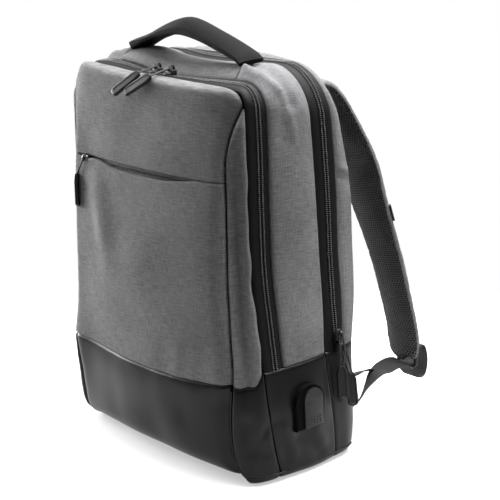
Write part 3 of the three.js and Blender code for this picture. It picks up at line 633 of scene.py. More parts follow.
front_upper = sew_panel(
    "front_upper_cloth", front_face, (-1, 1), (POCKET_HEIGHT, LANES["top"][0]), grey_cloth,
    {"left": CORNER_SEAM, "right": FRONT_EDGE, "low": SLIT_FLAP, "high": SLIT_EDGE},
    (LEFT_FULL, LEFT_CORNER), puff=2, wave=0.7, seed=5, upright=True,
)
stretch_sheet(front_upper, "grey_cloth", "front_upper")

# Base front: dark coated cloth with a satin face, sewn under the front cloth and turned under at the
# floor. A thin welt runs down its right and left edges.
COATED_COLOURS = ((0.004, 0.004, 0.0042), (0.007, 0.007, 0.0073))
BASE_HEM = (2.4, 4.0)


def clouded(marks, colours, detail=2.0, rough=None, grain=None, relief=None):
    """A look that drifts between two colours, and, where given, in its gloss, with a fine grain in relief.

    Marks and grain are so many a metre, rough is its least and its range, relief its depth and strength."""
    def recipe(start):
        place = start.node("ShaderNodeTexCoord").other("Object")
        cloud = noise(start, place, marks if isinstance(marks, tuple) else (marks,) * 3, detail)
        look = {"Base Color": blended(start, cloud, *colours)}
        if rough:
            look["Roughness"] = rough[0] + cloud * rough[1]
        if relief:
            raised = noise(start, place, (grain[0],) * 3, grain[1]) if grain else cloud
            look["Normal"] = pressed(start, raised, *relief)
        return look
    return recipe


coated_face = clouded(
    (30, 30, 14), COATED_COLOURS, rough=(0.27, 0.12), grain=(900, 3.0), relief=(0.0004, 0.35)
)
coated_cloth = finish("coated_cloth", coated_face, Specular_IOR_Level=0.22)
FRONT_TUCK = (((-160, -62, 0), (-120, -74, 0), (0, -80, 0), (130, -66, 0)), 17, 9.5)


def base_front_place(across, share):
    row = np.where(share < 0.5, BASE_ROUND * (1 - np.cos(share * np.pi)), 0)
    row = np.where(share < 0.5, row, lerp(BASE_ROUND, FRONT_BASE_TOP, 2 * share - 1))
    return front_face(across, row * (front_hem(across) - GAP / 2) / FRONT_BASE_TOP)


base_front = sew_panel(
    "base_front_cloth", base_front_place, (-1, 1), (0, 1), coated_cloth,
    {"left": CORNER_SEAM, "right": FRONT_EDGE, "high": BASE_HEM},
    (
        LEFT_BULGE,
        LEFT_FULL,
        FRONT_TUCK,
        (((70, -92, 66), (126, -86, 94)), 13, 1.6),
        (((-60, -92, 40), (-66, -92, 96)), 20, 0.9),
        (((20, -92, 30), (10, -92, 96)), 18, 0.8),
    ),
    puff=2, wave=0.7, seed=8,
)
stretch_sheet(base_front, "coated_cloth", "base_front")

# Front corner strips: a leaf of grey cloth on each front corner, with a soft valley down its middle,
# and its dark coated continuation in the base. The hem between them dips and climbs to the side.
STRIP_VALLEY = table("height depth", (
    (16, 0), (60, 3), (105, 6), (135, 11), (165, 15), (200, 15), (260, 15), (310, 14), (345, 9), (392, 0),
))
VALLEY_SHARE = 0.35
VALLEY_REACH = 10.5
SEAM_OPEN = 1.4
SCALLOP = {"first": 7.4, "second": 13.0, "depth": 0.022, "below_tip": 40, "fade": 60}
STRIP_SEAM = (8.5, 4.5)
STRIP_ZIP_SEAM = (3.2, 7.0)
STRIP_HEM_SEAM = (1.6, 3.5)
PLAIN_SEAM = (2.2, 4.0)
# Where the strip's section bends between its seam and the zip, and the most that a gap takes of it.
KNEE = (0.95, 0.2)
GAP_MOST = 0.3
TIP_CUT = 3
STRIP_HEM = table("share rise", ((0, 0), (0.23, -3.5), (0.46, -1.2), (0.73, 0.2), (0.92, 9), (1, 13)))
STRIP_CREASES = (
    (((160, -54, 64), (157, -60, 50), (160, -54, 34)), 5, 2.2),
    (((150, -70, 70), (153, -66, 40)), 8, 1.6),
)


def corner_strip(share, z):
    seam = front_face(np.ones_like(z), z)
    half = lane_half(0, z) - tuck(z)
    zipped = np.stack([half, lane_depth(0, z), z], -1)
    knee = np.stack([lerp(seam[..., 0], half, KNEE[0]), lerp(seam[..., 1], zipped[..., 1], KNEE[1]), z], -1)
    width = np.linalg.norm(zipped - seam, axis=-1)
    first, last = (np.minimum(gap / width, GAP_MOST) for gap in (SEAM_OPEN, GAP))
    along = lerp(first, 1 - last, share)[..., None]
    return seam * (1 - along) ** 2 + 2 * knee * along * (1 - along) + zipped * along**2


def strip_hem(share):
    return FRONT_BASE_TOP + through(STRIP_HEM["share"], STRIP_HEM["rise"], share)


def grey_strip(share, rise):
    z = lerp(strip_hem(share) + GAP / 2, LEAF_TIP - TIP_CUT, rise)
    wander = np.sin(z / SCALLOP["first"]) + np.sin(z / SCALLOP["second"] + 1)
    fade = smooth((LEAF_TIP - SCALLOP["below_tip"] - z) / SCALLOP["fade"])
    return corner_strip(share + SCALLOP["depth"] * share**3 * wander * fade, z)


def dark_strip(share, rise):
    under = BASE_ROUND * (1 - np.cos(np.clip(rise, 0, 0.5) * np.pi))
    z = np.where(rise < 0.5, under, lerp(BASE_ROUND, FRONT_BASE_TOP, 2 * rise - 1))
    return corner_strip(share, z * (strip_hem(share) - GAP / 2) / FRONT_BASE_TOP)


valley_line = corner_strip(np.full(len(STRIP_VALLEY["height"]), VALLEY_SHARE), STRIP_VALLEY["height"])
strip_valley = (valley_line, VALLEY_REACH, STRIP_VALLEY["depth"])
SIDES = (("right", 1), ("left", -1))


def mirrored(fold):
    line, reach, depth = fold
    return tuple((-x, y, z) for x, y, z in line), reach, depth


LEFT_STRIP = (LEFT_FOOT, 34, -5)
LEFT_TUCK = (((-165, -60, 0), (-150, -76, 0)), 16, 8)
LEFT_ZIP = (((-152, -38, 375), (-150, -34, 408)), 22, 4)
LEFT_FOLDS = (LEFT_STRIP, LEFT_FULL, LEFT_TUCK, LEFT_CORNER, LEFT_ZIP)
# What only one side has: the left panels are made as right ones and mirrored, so their folds are too.
OWN_FOLDS = {1: (), -1: tuple(mirrored(fold) for fold in LEFT_FOLDS)}
sewn_edges = []
for side, mirror in SIDES:
    strip = sew_panel(
        f"front_gusset_{side}_cloth", grey_strip, (0, 1), (0, 1), grey_cloth,
        {"left": STRIP_SEAM, "right": STRIP_ZIP_SEAM, "low": STRIP_HEM_SEAM},
        (strip_valley, *OWN_FOLDS[mirror]), wave=0.5, seed=11 + mirror, mirror=mirror, step=2, upright=True,
    )
    stretch_sheet(strip, "grey_cloth", f"front_gusset_{side}")
    sewn_edges.append((strip, "right"))
    foot = sew_panel(
        f"base_gusset_{side}_cloth", dark_strip, (0, 1), (0, 1), coated_cloth,
        {"left": STRIP_SEAM, "right": PLAIN_SEAM, "high": BASE_HEM},
        (*STRIP_CREASES, strip_valley, *OWN_FOLDS[mirror]), wave=0.8, seed=14 + mirror, mirror=mirror,
        step=3,
    )
    stretch_sheet(foot, "coated_cloth", f"base_gusset_{side}")

# Zips: two arches of smooth black tape, sunk between the cloth edges, with a nylon coil along the
# middle of each, and a short straight zip behind the slit of the pocket.
BASE_TOP = 126
LANE_GAP = 0.006
SEAM_ABOVE = 2.0006
TAPE_WALL = 1.0
TAPE_EDGE = table("share rise", ((0, -3.4), (0.05, -2.2), (0.16, -0.9), (0.5, -0.8)))
TAPE_DIP = {"half": 0.1, "slope": 0.06, "depth": 0.8}
# Where the coil lies across each zip's tape, by its place up the side: the main coil swings back low down.
COIL_SHARE = {
    "front_zip": table("place share", ((2, 0.58), (5, 0.58))),
    "main_zip": table("place share", (
        (2, 0.55), (2.1, 0.49), (2.2, 0.43), (2.35, 0.44), (2.6, 0.46), (5, 0.48),
    )),
}
TOOTH = {"pitch": 2.3, "along": 0.62, "across": 1.05, "height": 1.2, "offset": 2.2}
UNEVEN = {"least": 0.9, "most": 1.1, "seed": 4}
COIL_RISE = -0.7
COIL_POINTS = 700
COIL_SPREAD = np.array([-0.1, 0, 0.1])
TAPE_RIBS = {"across": 0.0016, "along": 0.0012}
TAPE_COLOURS = ((0.004, 0.004, 0.004), (0.007, 0.007, 0.007))
# The coil's grey is lighter than black nylon: partly its own colour, partly painted glints on the teeth.
COIL_AND_GLINT_COLOURS = ((0.06, 0.06, 0.06), (0.13, 0.13, 0.13))


def skin(place, lane):
    """A point of the body on a lane.

    Places 0 to 2 lie in the base, 2 to 3 up the right side, 3 to 4 round the top corner and 5 on the middle
    of the top; from there to 10 the same runs down the left side."""
    place, lane = np.broadcast_arrays(np.asarray(place, float), np.asarray(lane, float))
    rest = np.where(place > 5, 10 - place, place)
    top = at_lane("top", lane)
    corner = at_lane("corner", lane)
    inset = at_lane("inset", lane)
    flat = at_height("half", top - corner) - inset - corner
    under = BASE_ROUND * (1 - np.cos(np.clip(rest, 0, 1) * np.pi / 2))
    in_base = np.where(rest <= 1, under, lerp(BASE_ROUND, BASE_TOP, rest - 1))
    side_z = np.where(rest <= 2, in_base, lerp(BASE_TOP, top - corner, rest - 2))
    turn = np.clip(rest - 3, 0, 1) * np.pi / 2
    top_x = flat * (5 - rest)
    on_top = top + TOP_CROWN * (1 - (top_x / flat) ** 2)
    z = np.select([rest <= 3, rest <= 4], [side_z, top - corner + corner * np.sin(turn)], on_top)
    side_x = at_height("half", side_z) - inset - tuck(side_z)
    x = np.select([rest <= 3, rest <= 4], [side_x, flat + corner * np.cos(turn)], top_x)
    x = np.where(place > 5, -x, x)
    sag = top_sag(x, lane) * smooth((z - top + corner) / corner)
    return np.stack([x, lane_depth(lane, np.minimum(z, top)), z + sag], -1)


def tape_weave(start):
    place, across, along = cloth_map(start)
    ribs = ribbed(start, along, TAPE_RIBS["along"]) * 0.5
    cross = ribbed(start, across, TAPE_RIBS["across"]) * 0.5
    cloud = noise(start, place, (60, 60, 1))
    return {
        "Base Color": blended(start, cloud, *TAPE_COLOURS),
        "Roughness": 0.5 + cloud * 0.15,
        "Normal": pressed(start, ribs + cross, 0.0002, 0.5),
    }


zip_tape = finish("zip_tape", tape_weave, Specular_IOR_Level=0.13)
# The coil's finish carries that lightened grey, which is partly painted glints.
zip_coil = finish("zip_coil", clouded(250, COIL_AND_GLINT_COLOURS, rough=(0.22, 0.16)), Specular_IOR_Level=0.6)


def path_tree(name, sizes, shape):
    """Geometry nodes that set a small shape along a path: sizes are its inputs, given in millimetres."""
    tree = bpy.data.node_groups.new(name, "GeometryNodeTree")
    tree.interface.new_socket("Path", in_out="INPUT", socket_type="NodeSocketGeometry")
    for size, value in sizes.items():
        socket = tree.interface.new_socket(size, in_out="INPUT", socket_type="NodeSocketFloat")
        socket.default_value = value * MM
    tree.interface.new_socket("Finish", in_out="INPUT", socket_type="NodeSocketMaterial")
    tree.interface.new_socket("Row", in_out="OUTPUT", socket_type="NodeSocketGeometry")
    start = Wire(tree)
    given = start.node("NodeGroupInput")
    curve = start.node("GeometryNodeMeshToCurve", {}, {"Mesh": given})
    points = start.node(
        "GeometryNodeResampleCurve", {"mode": "LENGTH"}, {"Curve": curve, "Length": given.other("pitch")}
    )
    out = start.node("GeometryNodeInputNamedAttribute", {"data_type": "FLOAT_VECTOR"}, {"Name": "out"})
    facing = start.node(
        "FunctionNodeAxesToRotation",
        {"primary_axis": "X", "secondary_axis": "Z"},
        {0: start.node("GeometryNodeInputTangent"), 1: out},
    )
    uneven = start.node(
        "FunctionNodeRandomValue",
        {"data_type": "FLOAT_VECTOR"},
        {0: (UNEVEN["least"],) * 3, 1: (UNEVEN["most"],) * 3, "Seed": UNEVEN["seed"]},
    )
    placed = start.node(
        "GeometryNodeInstanceOnPoints",
        {},
        {"Points": points, "Instance": shape(start, given), "Rotation": facing, "Scale": uneven},
    )
    real = start.node("GeometryNodeRealizeInstances", {}, {"Geometry": placed})
    rounded = start.node("GeometryNodeSetShadeSmooth", {}, {"Geometry": real})
    dressed = start.node(
        "GeometryNodeSetMaterial", {}, {"Geometry": rounded, "Material": given.other("Finish")}
    )
    start.node("NodeGroupOutput", {}, {"Row": dressed})
    return tree


def bead(start, along, across, height, shift):
    """A small rounded bar, shifted along and across the path."""
    ball = start.node("GeometryNodeMeshUVSphere", {}, {"Segments": 6, "Rings": 4, "Radius": 1.0})
    size = start.node("ShaderNodeCombineXYZ", {}, {0: along, 1: across, 2: height})
    place = start.node("ShaderNodeCombineXYZ", {}, {0: shift[0], 1: shift[1]})
    return start.node("GeometryNodeTransform", {}, {"Geometry": ball, "Translation": place, "Scale": size})


def tooth_pair(start, given):
    """A tooth on each side of the zip, the second half a pitch further on."""
    sizes = [given.other(size) for size in ("along", "across", "height")]
    near = bead(start, *sizes, (0.0, given.other("offset")))
    far = bead(start, *sizes, (given.other("pitch") * 0.5, given.other("offset") * -1))
    return start.node("GeometryNodeJoinGeometry", {}, {"Geometry": [near, far]})


def row_along(name, tree, lines, material):
    """A tree's shapes along lines of points and outward directions, as one plain mesh."""
    points = np.concatenate([line for line, _ in lines])
    ends = np.cumsum([len(line) for line, _ in lines])
    links = [(i, i + 1) for i in range(len(points) - 1) if i + 1 not in ends]
    mesh = bpy.data.meshes.new(name)
    mesh.from_pydata((points * MM).tolist(), links, [])
    out = np.concatenate([facing for _, facing in lines]).astype(np.float32)
    mesh.attributes.new("out", "FLOAT_VECTOR", "POINT").data.foreach_set("vector", out.reshape(-1))
    maker = add_object(name + "_path", mesh)
    modifier = maker.modifiers.new("row", "NODES")
    modifier.node_group = tree
    for item in tree.interface.items_tree:
        if item.in_out == "INPUT" and item.name == "Finish":
            modifier[item.identifier] = material
    depsgraph = bpy.context.evaluated_depsgraph_get()
    made = bpy.data.meshes.new_from_object(maker.evaluated_get(depsgraph))
    made.name = name
    bpy.data.objects.remove(maker)
    return add_object(name, made)


teeth_tree = path_tree("zip_teeth", TOOTH, tooth_pair)


def normals_of(points):
    """Outward normals of a grid of points on the body."""
    normal = np.cross(np.gradient(points, axis=1), np.gradient(points, axis=0))
    normal /= np.linalg.norm(normal, axis=-1, keepdims=True)
    turn = np.sign(np.einsum("...i,...i->...", normal, inward(points)))
    return -normal * turn[..., None]


def coil_share(zip_name, place):
    """Where a zip's coil lies across its tape, at a place of the arch."""
    shares = COIL_SHARE[zip_name]
    return np.interp(np.minimum(place, 10 - np.asarray(place)), shares["place"], shares["share"])


def sunk_tape(zip_name, first):
    """Place on a zip's tape, sunk below the cloth beside its edges and under its coil."""
    def place(share, along):
        points = skin(along, lerp(first + LANE_GAP, first + 1 - LANE_GAP, share))
        rise = np.interp(np.minimum(share, 1 - share), TAPE_EDGE["share"], TAPE_EDGE["rise"])
        away = np.abs(share - coil_share(zip_name, along)) - TAPE_DIP["half"]
        rise = rise - TAPE_DIP["depth"] * (1 - np.clip(away / TAPE_DIP["slope"], 0, 1))
        return points - inward(points) * rise[..., None]
    return place


ARCH = (SEAM_ABOVE, 10 - SEAM_ABOVE)
TAPE_FOLDS = (LEFT_CORNER, LEFT_ZIP)
for zip_name, first in (("front_zip", 0), ("main_zip", 3)):
    tape = sew_panel(
        f"{zip_name}_tape", sunk_tape(zip_name, first), (0, 1), ARCH, zip_tape,
        {}, TAPE_FOLDS, wave=0.25, pucker=0, step=2.4, seed=20 + first, wall=TAPE_WALL,
    )
    stretch_sheet(tape, "zip_tape", zip_name)
    along = np.linspace(*ARCH, COIL_POINTS)
    lanes = first + coil_share(zip_name, along)[:, None] + COIL_SPREAD
    grid = skin(along[:, None], lanes)
    grid = grid + inward(grid) * fold_depth(grid, TAPE_FOLDS)[..., None]
    out = normals_of(grid)[:, 1]
    coil = row_along(f"{zip_name}_coil", teeth_tree, [(grid[:, 1] + out * COIL_RISE, out)], zip_coil)
    place_piece(coil, "zip_tape")

POCKET_TAPE = {"half": 0.93, "below": 20, "above": 8, "behind": 3.2}
POCKET_COIL = {"half": 0.92, "points": 200, "below": 2.0, "spread": 3.0, "rise": 0.5}


def behind_slit(across, row):
    points = front_face(across, row)
    return points + inward(points) * POCKET_TAPE["behind"]


pocket_tape = sew_panel(
    "pocket_zip_tape", behind_slit, (-POCKET_TAPE["half"], POCKET_TAPE["half"]),
    (POCKET_HEIGHT - POCKET_TAPE["below"], POCKET_HEIGHT + POCKET_TAPE["above"]), zip_tape, {},
    wave=0.2, pucker=0, wall=TAPE_WALL, seed=24,
)
stretch_sheet(pocket_tape, "zip_tape", "pocket_zip")
across = np.linspace(-POCKET_COIL["half"], POCKET_COIL["half"], POCKET_COIL["points"])
rows = POCKET_HEIGHT - POCKET_COIL["below"] + POCKET_COIL["spread"] * np.array([-1, 0, 1])
grid = behind_slit(across[:, None], rows[None])
out = normals_of(grid)[:, 1]
coil_line = [(grid[:, 1] + out * POCKET_COIL["rise"], out)]
pocket_coil = row_along("pocket_zip_coil", teeth_tree, coil_line, zip_coil)
place_piece(pocket_coil, "zip_tape")

# Cloth between the zips: the top panel under the handle and a long gusset down each side, grey above
# and coated in the base. Soft creases run from the handle's ends over the top corners.
TOP_SEAM = 93
TOP_END = (3.6, 3.2)
ZIP_SEAM = (3.6, 5.0)
MIDDLE_FLAT = float(lane_half(2, LANES["top"][2]))
SEAM_PLACE = 5 - TOP_SEAM / MIDDLE_FLAT
SEAM_STEP = 0.0016
SEAM_BELOW = 1.9985


def lane_strip(first, last):
    """Place on the cloth between two lanes."""
    def place(share, along):
        return skin(along, lerp(first + LANE_GAP, last - LANE_GAP, share))
    return place


top_panel = sew_panel(
    "top_panel_cloth", lane_strip(1, 3), (0, 1), (SEAM_PLACE + SEAM_STEP, 10 - SEAM_PLACE - SEAM_STEP),
    grey_cloth,
    {"left": ZIP_SEAM, "right": ZIP_SEAM, "low": TOP_END, "high": TOP_END},
    wave=0.4, seed=30,
)
stretch_sheet(top_panel, "grey_cloth", "top_panel")
GUSSET_FOLDS = (
    (((95, -6, 442), (117, -14, 439), (150, -2, 420)), 5, -3.6),
    (((100, 6, 442), (130, 4, 434), (152, 8, 405)), 7, 4.2),
    (((156, 4, 418), (157, 5, 396), (156, 8, 371)), 5, -2.2),
    (((156, -6, 410), (156, -6, 372)), 6, 1.6),
    (((153, 14, 330), (153, 10, 250), (158, 4, 160)), 22, -1.0),
)
SIDE_FOLDS = (
    (((167, -44, 68), (168, -33, 42), (167, -30, 24)), 6, 2.6),
    (((167, -34, 60), (168, -22, 30)), 7, -1.8),
    (((167, -10, 48), (168, 2, 34), (168, 14, 18)), 8, 2.4),
    (((167, 12, 46), (167, 20, 30)), 8, -1.2),
)
USB = {"y": 1, "z": 77, "width": 41, "height": 50, "stand": 8, "buried": 8}
PORT_INSET = 2.5


def inside_port(points):
    """True for points of the base side that the port's housing takes up."""
    reach = USB["width"] / 2 - PORT_INSET
    shoulder = USB["z"] + USB["height"] / 2 - USB["width"] / 2
    low = USB["z"] - USB["height"] / 2 + PORT_INSET
    aside = np.abs(points[:, 1] - USB["y"])
    above = np.maximum(points[:, 2] - shoulder, 0)
    return (aside**2 + above**2 < reach**2) & (aside < reach) & (points[:, 2] > low)


for side, mirror in SIDES:
    gusset = sew_panel(
        f"main_gusset_{side}_cloth", lane_strip(1, 3), (0, 1), (SEAM_ABOVE, SEAM_PLACE - SEAM_STEP),
        grey_cloth, {"left": ZIP_SEAM, "right": ZIP_SEAM, "low": GREY_HEM, "high": TOP_END},
        GUSSET_FOLDS, puff=3, wave=0.7, seed=33 + mirror, mirror=mirror,
    )
    stretch_sheet(gusset, "grey_cloth", f"main_gusset_{side}")
    sewn_edges += [(gusset, "left"), (gusset, "right")]
    below = sew_panel(
        f"base_side_{side}_cloth", lane_strip(0, 3), (0, 1), (0, SEAM_BELOW), coated_cloth,
        {"left": PLAIN_SEAM, "right": PLAIN_SEAM, "high": BASE_HEM},
        (*SIDE_FOLDS, *OWN_FOLDS[mirror]), puff=2, wave=0.8, seed=36 + mirror, mirror=mirror, step=2.8,
        hole=inside_port if mirror > 0 else None,
    )
    stretch_sheet(below, "coated_cloth", f"base_side_{side}")
    rear = sew_panel(
        f"base_rear_{side}_cloth", lane_strip(3, 5), (0, 1), (0, SEAM_BELOW), coated_cloth,
        {"left": PLAIN_SEAM, "right": PLAIN_SEAM, "high": BASE_HEM},
        wave=0.6, seed=39 + mirror, mirror=mirror,
    )
    stretch_sheet(rear, "coated_cloth", f"base_rear_{side}")

# Rear gusset: one arch of grey cloth between the main zip and the padded back, with a pinched crease
# where the shoulder strap pulls on it.
REAR_FOLDS = (
    (((156, 64, 331), (156, 74, 325), (150, 92, 318)), 5, -4.2),
    (((156, 66, 320), (150, 94, 306)), 5, 3.2),
)
rear_gusset = sew_panel(
    "rear_gusset_cloth", lane_strip(4, 5), (0, 1), ARCH, grey_cloth,
    {"left": ZIP_SEAM, "right": PLAIN_SEAM, "low": GREY_HEM, "high": GREY_HEM},
    REAR_FOLDS, wave=0.5, seed=44,
)
stretch_sheet(rear_gusset, "grey_cloth", "rear_gusset")
sewn_edges += [(rear_gusset, "left"), (top_panel, "left"), (top_panel, "right"), (front_upper, "high")]

# Back: a foam pad covered with black spacer mesh, sewn to the rear gusset all round and stitched down
# along two upright channels. The foam swells between the seams.
BACK_PAD = 6
BACK_CROWN = 9
BACK_ROLL = 40
BACK_SEAM = (2.4, 5.0)
BACK_FOOT = 0.12
BACK_NARROW = 0.998
BACK_LOOSE = {"from_edge": 8, "over": 10, "channel": 1.6}
BACK_SWELL = 3.0
MESH_PITCH = {"across": 0.0036, "along": 0.0028}
MESH_HOLE = (0.2, 0.42)
MESH_COLOURS = ((0.003, 0.003, 0.003), (0.095, 0.095, 0.097))
CHANNEL = {"half_gap": 34, "route": ((90, 70), (100, 230), (90, 372)), "reach": 5, "depth": 3.5}


def back_face(across, row):
    """A point of the back: across runs from -1 to 1 between its seams, and row is its height."""
    across, row = np.broadcast_arrays(np.asarray(across, float), np.asarray(row, float))
    edge = np.abs(across)
    top = LANES["top"][5]
    half = lane_half(5, row) - tuck(row)
    ends = (1 - smooth((row - top + BACK_ROLL) / BACK_ROLL)) * smooth(row / (5 * BASE_ROUND))
    depth = lane_depth(5, row) + (1 - edge**6) * (BACK_CROWN * ends - tuck(row))
    crown = TOP_CROWN * (1 - across * across) * smooth((row - POCKET_HEIGHT) / (top - POCKET_HEIGHT))
    return np.stack([across * half, depth, row + crown], -1)


def spacer_holes(start):
    """Knitted spacer mesh: rows of small round holes, each row half a step aside of the next."""
    place, across, along = cloth_map(start)
    rows = along / MESH_PITCH["along"]
    odd = start.math("FRACT", start.math("FLOOR", rows) * 0.5)
    aside = start.math("FRACT", across / MESH_PITCH["across"] + odd) - 0.5
    ahead = start.math("FRACT", rows) - 0.5
    away = start.math("SQRT", aside * aside + ahead * ahead)
    knit = clipped(start, away, *MESH_HOLE)
    fuzz = noise(start, place, (900, 900, 1))
    return {
        "Base Color": blended(start, knit * (0.7 + fuzz * 0.5), *MESH_COLOURS),
        "Normal": pressed(start, knit, 0.001, 0.7),
    }


spacer_mesh = finish("spacer_mesh", spacer_holes, Roughness=0.85, Specular_IOR_Level=0.15)


def padded_back(across, share):
    under = BASE_ROUND * (1 - np.cos(share / BACK_FOOT * np.pi / 2))
    above = lerp(BASE_ROUND, LANES["top"][5], (share - BACK_FOOT) / (1 - BACK_FOOT))
    points = back_face(across, np.where(share < BACK_FOOT, under, above))
    points[..., 0] *= BACK_NARROW
    return points


channels = tuple(
    (tuple((x, y, z) for y, z in CHANNEL["route"]), CHANNEL["reach"], CHANNEL["depth"])
    for x in (-CHANNEL["half_gap"], CHANNEL["half_gap"])
)
back = sew_panel(
    "back_pad", padded_back, (-1, 1), (0, 1), spacer_mesh,
    {"left": BACK_SEAM, "right": BACK_SEAM, "high": BACK_SEAM},
    channels, wave=0.6, seed=48, wall=BACK_PAD, step=3.6,
)
SWELL = {"frames": 20, "pressure": 4.0, "slack": -0.008}


def swell(piece, loose, cap):
    """Lets a padded piece swell between its seams by cloth simulation.

    Loose is how free each point is, from 0 to 1, and cap the most that a point moves."""
    held = piece.vertex_groups.new(name="sewn")
    levels = np.round((1 - loose) * 10) / 10
    for level in np.unique(levels):
        held.add(np.flatnonzero(levels == level).tolist(), float(level), "REPLACE")
    cloth = piece.modifiers.new("swell", "CLOTH")
    cloth.settings.vertex_group_mass = held.name
    cloth.settings.use_pressure = True
    cloth.settings.uniform_pressure_force = SWELL["pressure"]
    cloth.settings.shrink_min = SWELL["slack"]
    cloth.settings.effector_weights.gravity = 0
    cloth.collision_settings.use_collision = False
    for step in range(1, SWELL["frames"] + 1):
        scene.frame_set(step)
    settled = bpy.data.meshes.new_from_object(piece.evaluated_get(bpy.context.evaluated_depsgraph_get()))
    places = np.empty((2, len(loose), 3), np.float32)
    for row, mesh in enumerate((piece.data, settled)):
        mesh.vertices.foreach_get("co", places[row].reshape(-1))
    bpy.data.meshes.remove(settled)
    piece.modifiers.remove(cloth)
    piece.vertex_groups.clear()
    scene.frame_set(1)
    move = places[1] - places[0]
    size = np.maximum(np.linalg.norm(move, axis=1, keepdims=True), 1e-9)
    capped = places[0] + move * np.minimum(1, cap * MM / size)
    piece.data.vertices.foreach_set("co", capped.reshape(-1))
    piece.data.update()


pad_points = back["points"].reshape(-1, 3)
pad_inset = np.minimum.reduce(list(back["edge"].values())).reshape(-1)
pad_loose = smooth((pad_inset - BACK_LOOSE["from_edge"]) / BACK_LOOSE["over"])
sewn_down = fold_depth(pad_points, channels) / CHANNEL["depth"]
pad_loose *= 1 - smooth(sewn_down * BACK_LOOSE["channel"])
inner_count = len(back["piece"].data.vertices) - len(pad_points)
swell(back["piece"], np.concatenate([pad_loose, np.zeros(inner_count)]), BACK_SWELL)
place_piece(back["piece"], "spacer_mesh", "back_panel")

# Bottom: a flat panel of coated cloth that the bag stands on, sewn to the feet of the walls all round.
# Its edge keeps a small gap to them.
BOTTOM_INSET = {"sides": 4 * GAP, "ends": GAP / 40}


def bottom_place(across, share):
    fronts = front_face(np.ones_like(share), 0 * share)
    edges = np.stack([front_face(1, 0)] + [skin(0, lane) for lane in LANE_KEYS])
    keys = np.arange(len(edges)) / (len(edges) - 1)
    wide = through(keys, edges[:, 0], share) - BOTTOM_INSET["sides"]
    deep = through(keys, edges[:, 1], share)
    front = front_face(across, 0 * across)[..., 1] - fronts[..., 1]
    rear = back_face(across, 0 * across)[..., 1] - back_face(np.ones_like(across), 0 * across)[..., 1]
    depth = deep + (1 - share) * front + share * rear
    return np.stack([across * wide, depth * (1 - BOTTOM_INSET["ends"]), 0 * share], -1)


bottom = sew_panel(
    "base_bottom_cloth", bottom_place, (-1, 1), (0, 1), coated_cloth, {}, (FRONT_TUCK,),
    wave=0, pucker=0, seed=52, step=4,
)
stretch_sheet(bottom, "coated_cloth", "base_bottom")

# Welts: a thin cord covered with coated cloth, sewn into the seams beside the base front and along the
# seam between the walls and the bottom.
WELT = {"radius": 1.2, "sunk": 4.6, "top": 106, "foot": 9, "rounds": 10, "end": 4.7}
WELT_POINTS = {"down": 40, "corner": 16, "side": 60}
TUBE_SIDES = 12
TUBE_HINT = np.array([0.13, 0.21, 0.97])


def loft(rings):
    """Faces through rings of points, with a grid over each end."""
    count, around = rings.shape[:2]
    at = np.arange(count * around).reshape(count, around)
    after = np.roll(at, -1, 1)
    sides = np.stack([at[:-1], after[:-1], after[1:], at[1:]], -1).reshape(-1, 4)
    half = around // 2
    caps = []
    for ring in (at[0], at[-1][::-1]):
        for i in range(half - 1):
            caps.append([ring[i], ring[(around - 1 - i)], ring[(around - 2 - i)], ring[i + 1]])
    return np.concatenate([sides, np.array(caps)])


def tube(line, radius):
    """Rings of points round a line."""
    along = np.gradient(line, axis=0)
    along /= np.linalg.norm(along, axis=1, keepdims=True)
    first = np.cross(along, TUBE_HINT)
    first /= np.linalg.norm(first, axis=1, keepdims=True)
    second = np.cross(along, first)
    angles = np.linspace(0, 2 * np.pi, TUBE_SIDES, endpoint=False)[:, None]
    ring = np.cos(angles) * first[:, None] + np.sin(angles) * second[:, None]
    return line[:, None] + ring * radius


def welt_route(folds):
    """Down the corner seam, round the foot of the corner strip and back along the side."""
    down = np.linspace(WELT["top"], WELT["foot"], WELT_POINTS["down"])
    seam = front_face(np.ones_like(down), down)
    turn = math.acos(1 - WELT["foot"] / BASE_ROUND) * 2 / math.pi
    round_corner = np.linspace(0, 1, WELT_POINTS["corner"])
    corner = corner_strip(round_corner, np.full_like(round_corner, WELT["foot"]))
    side = skin(turn, np.linspace(0, WELT["end"], WELT_POINTS["side"] + 1)[1:])
    route = np.concatenate([seam, corner, side])
    sunk = fold_depth(route, folds)
    sunk[: len(down)] += WELT["sunk"]
    route = route + inward(route) * sunk[:, None]
    for _ in range(WELT["rounds"]):
        route[1:-1] = (route[:-2] + 2 * route[1:-1] + route[2:]) / 4
    return route


for side, mirror in SIDES:
    route = welt_route((*STRIP_CREASES, strip_valley, *SIDE_FOLDS, *OWN_FOLDS[mirror]))
    rings = tube(route * np.array([mirror, 1, 1]), WELT["radius"])
    welt = make_piece(f"base_welt_{side}", rings.reshape(-1, 3), loft(rings), coated_cloth)
    place_piece(welt, "coated_cloth")

# Seams: rows of thread in the cloth's own tone along the zips, the slit of the pocket and the hem over
# the base, and black rows up the sides and along the top of the padded back.
STITCH = {"pitch": 3.4, "along": 1.2, "across": 0.28, "height": 0.26}
STITCH_INSET = {"zip": 6.5, "slit": 2.8, "hem": 3.4, "pad": 8.0}
THREAD_TWIST = 900
GREY_THREAD = ((0.07, 0.07, 0.072), (0.16, 0.16, 0.163))
BLACK_THREAD = ((0.006, 0.006, 0.006), (0.02, 0.02, 0.02))


def single_bead(start, given):
    """One stitch or dot on the path."""
    return bead(start, *[given.other(size) for size in ("along", "across", "height")], (0.0, 0.0))


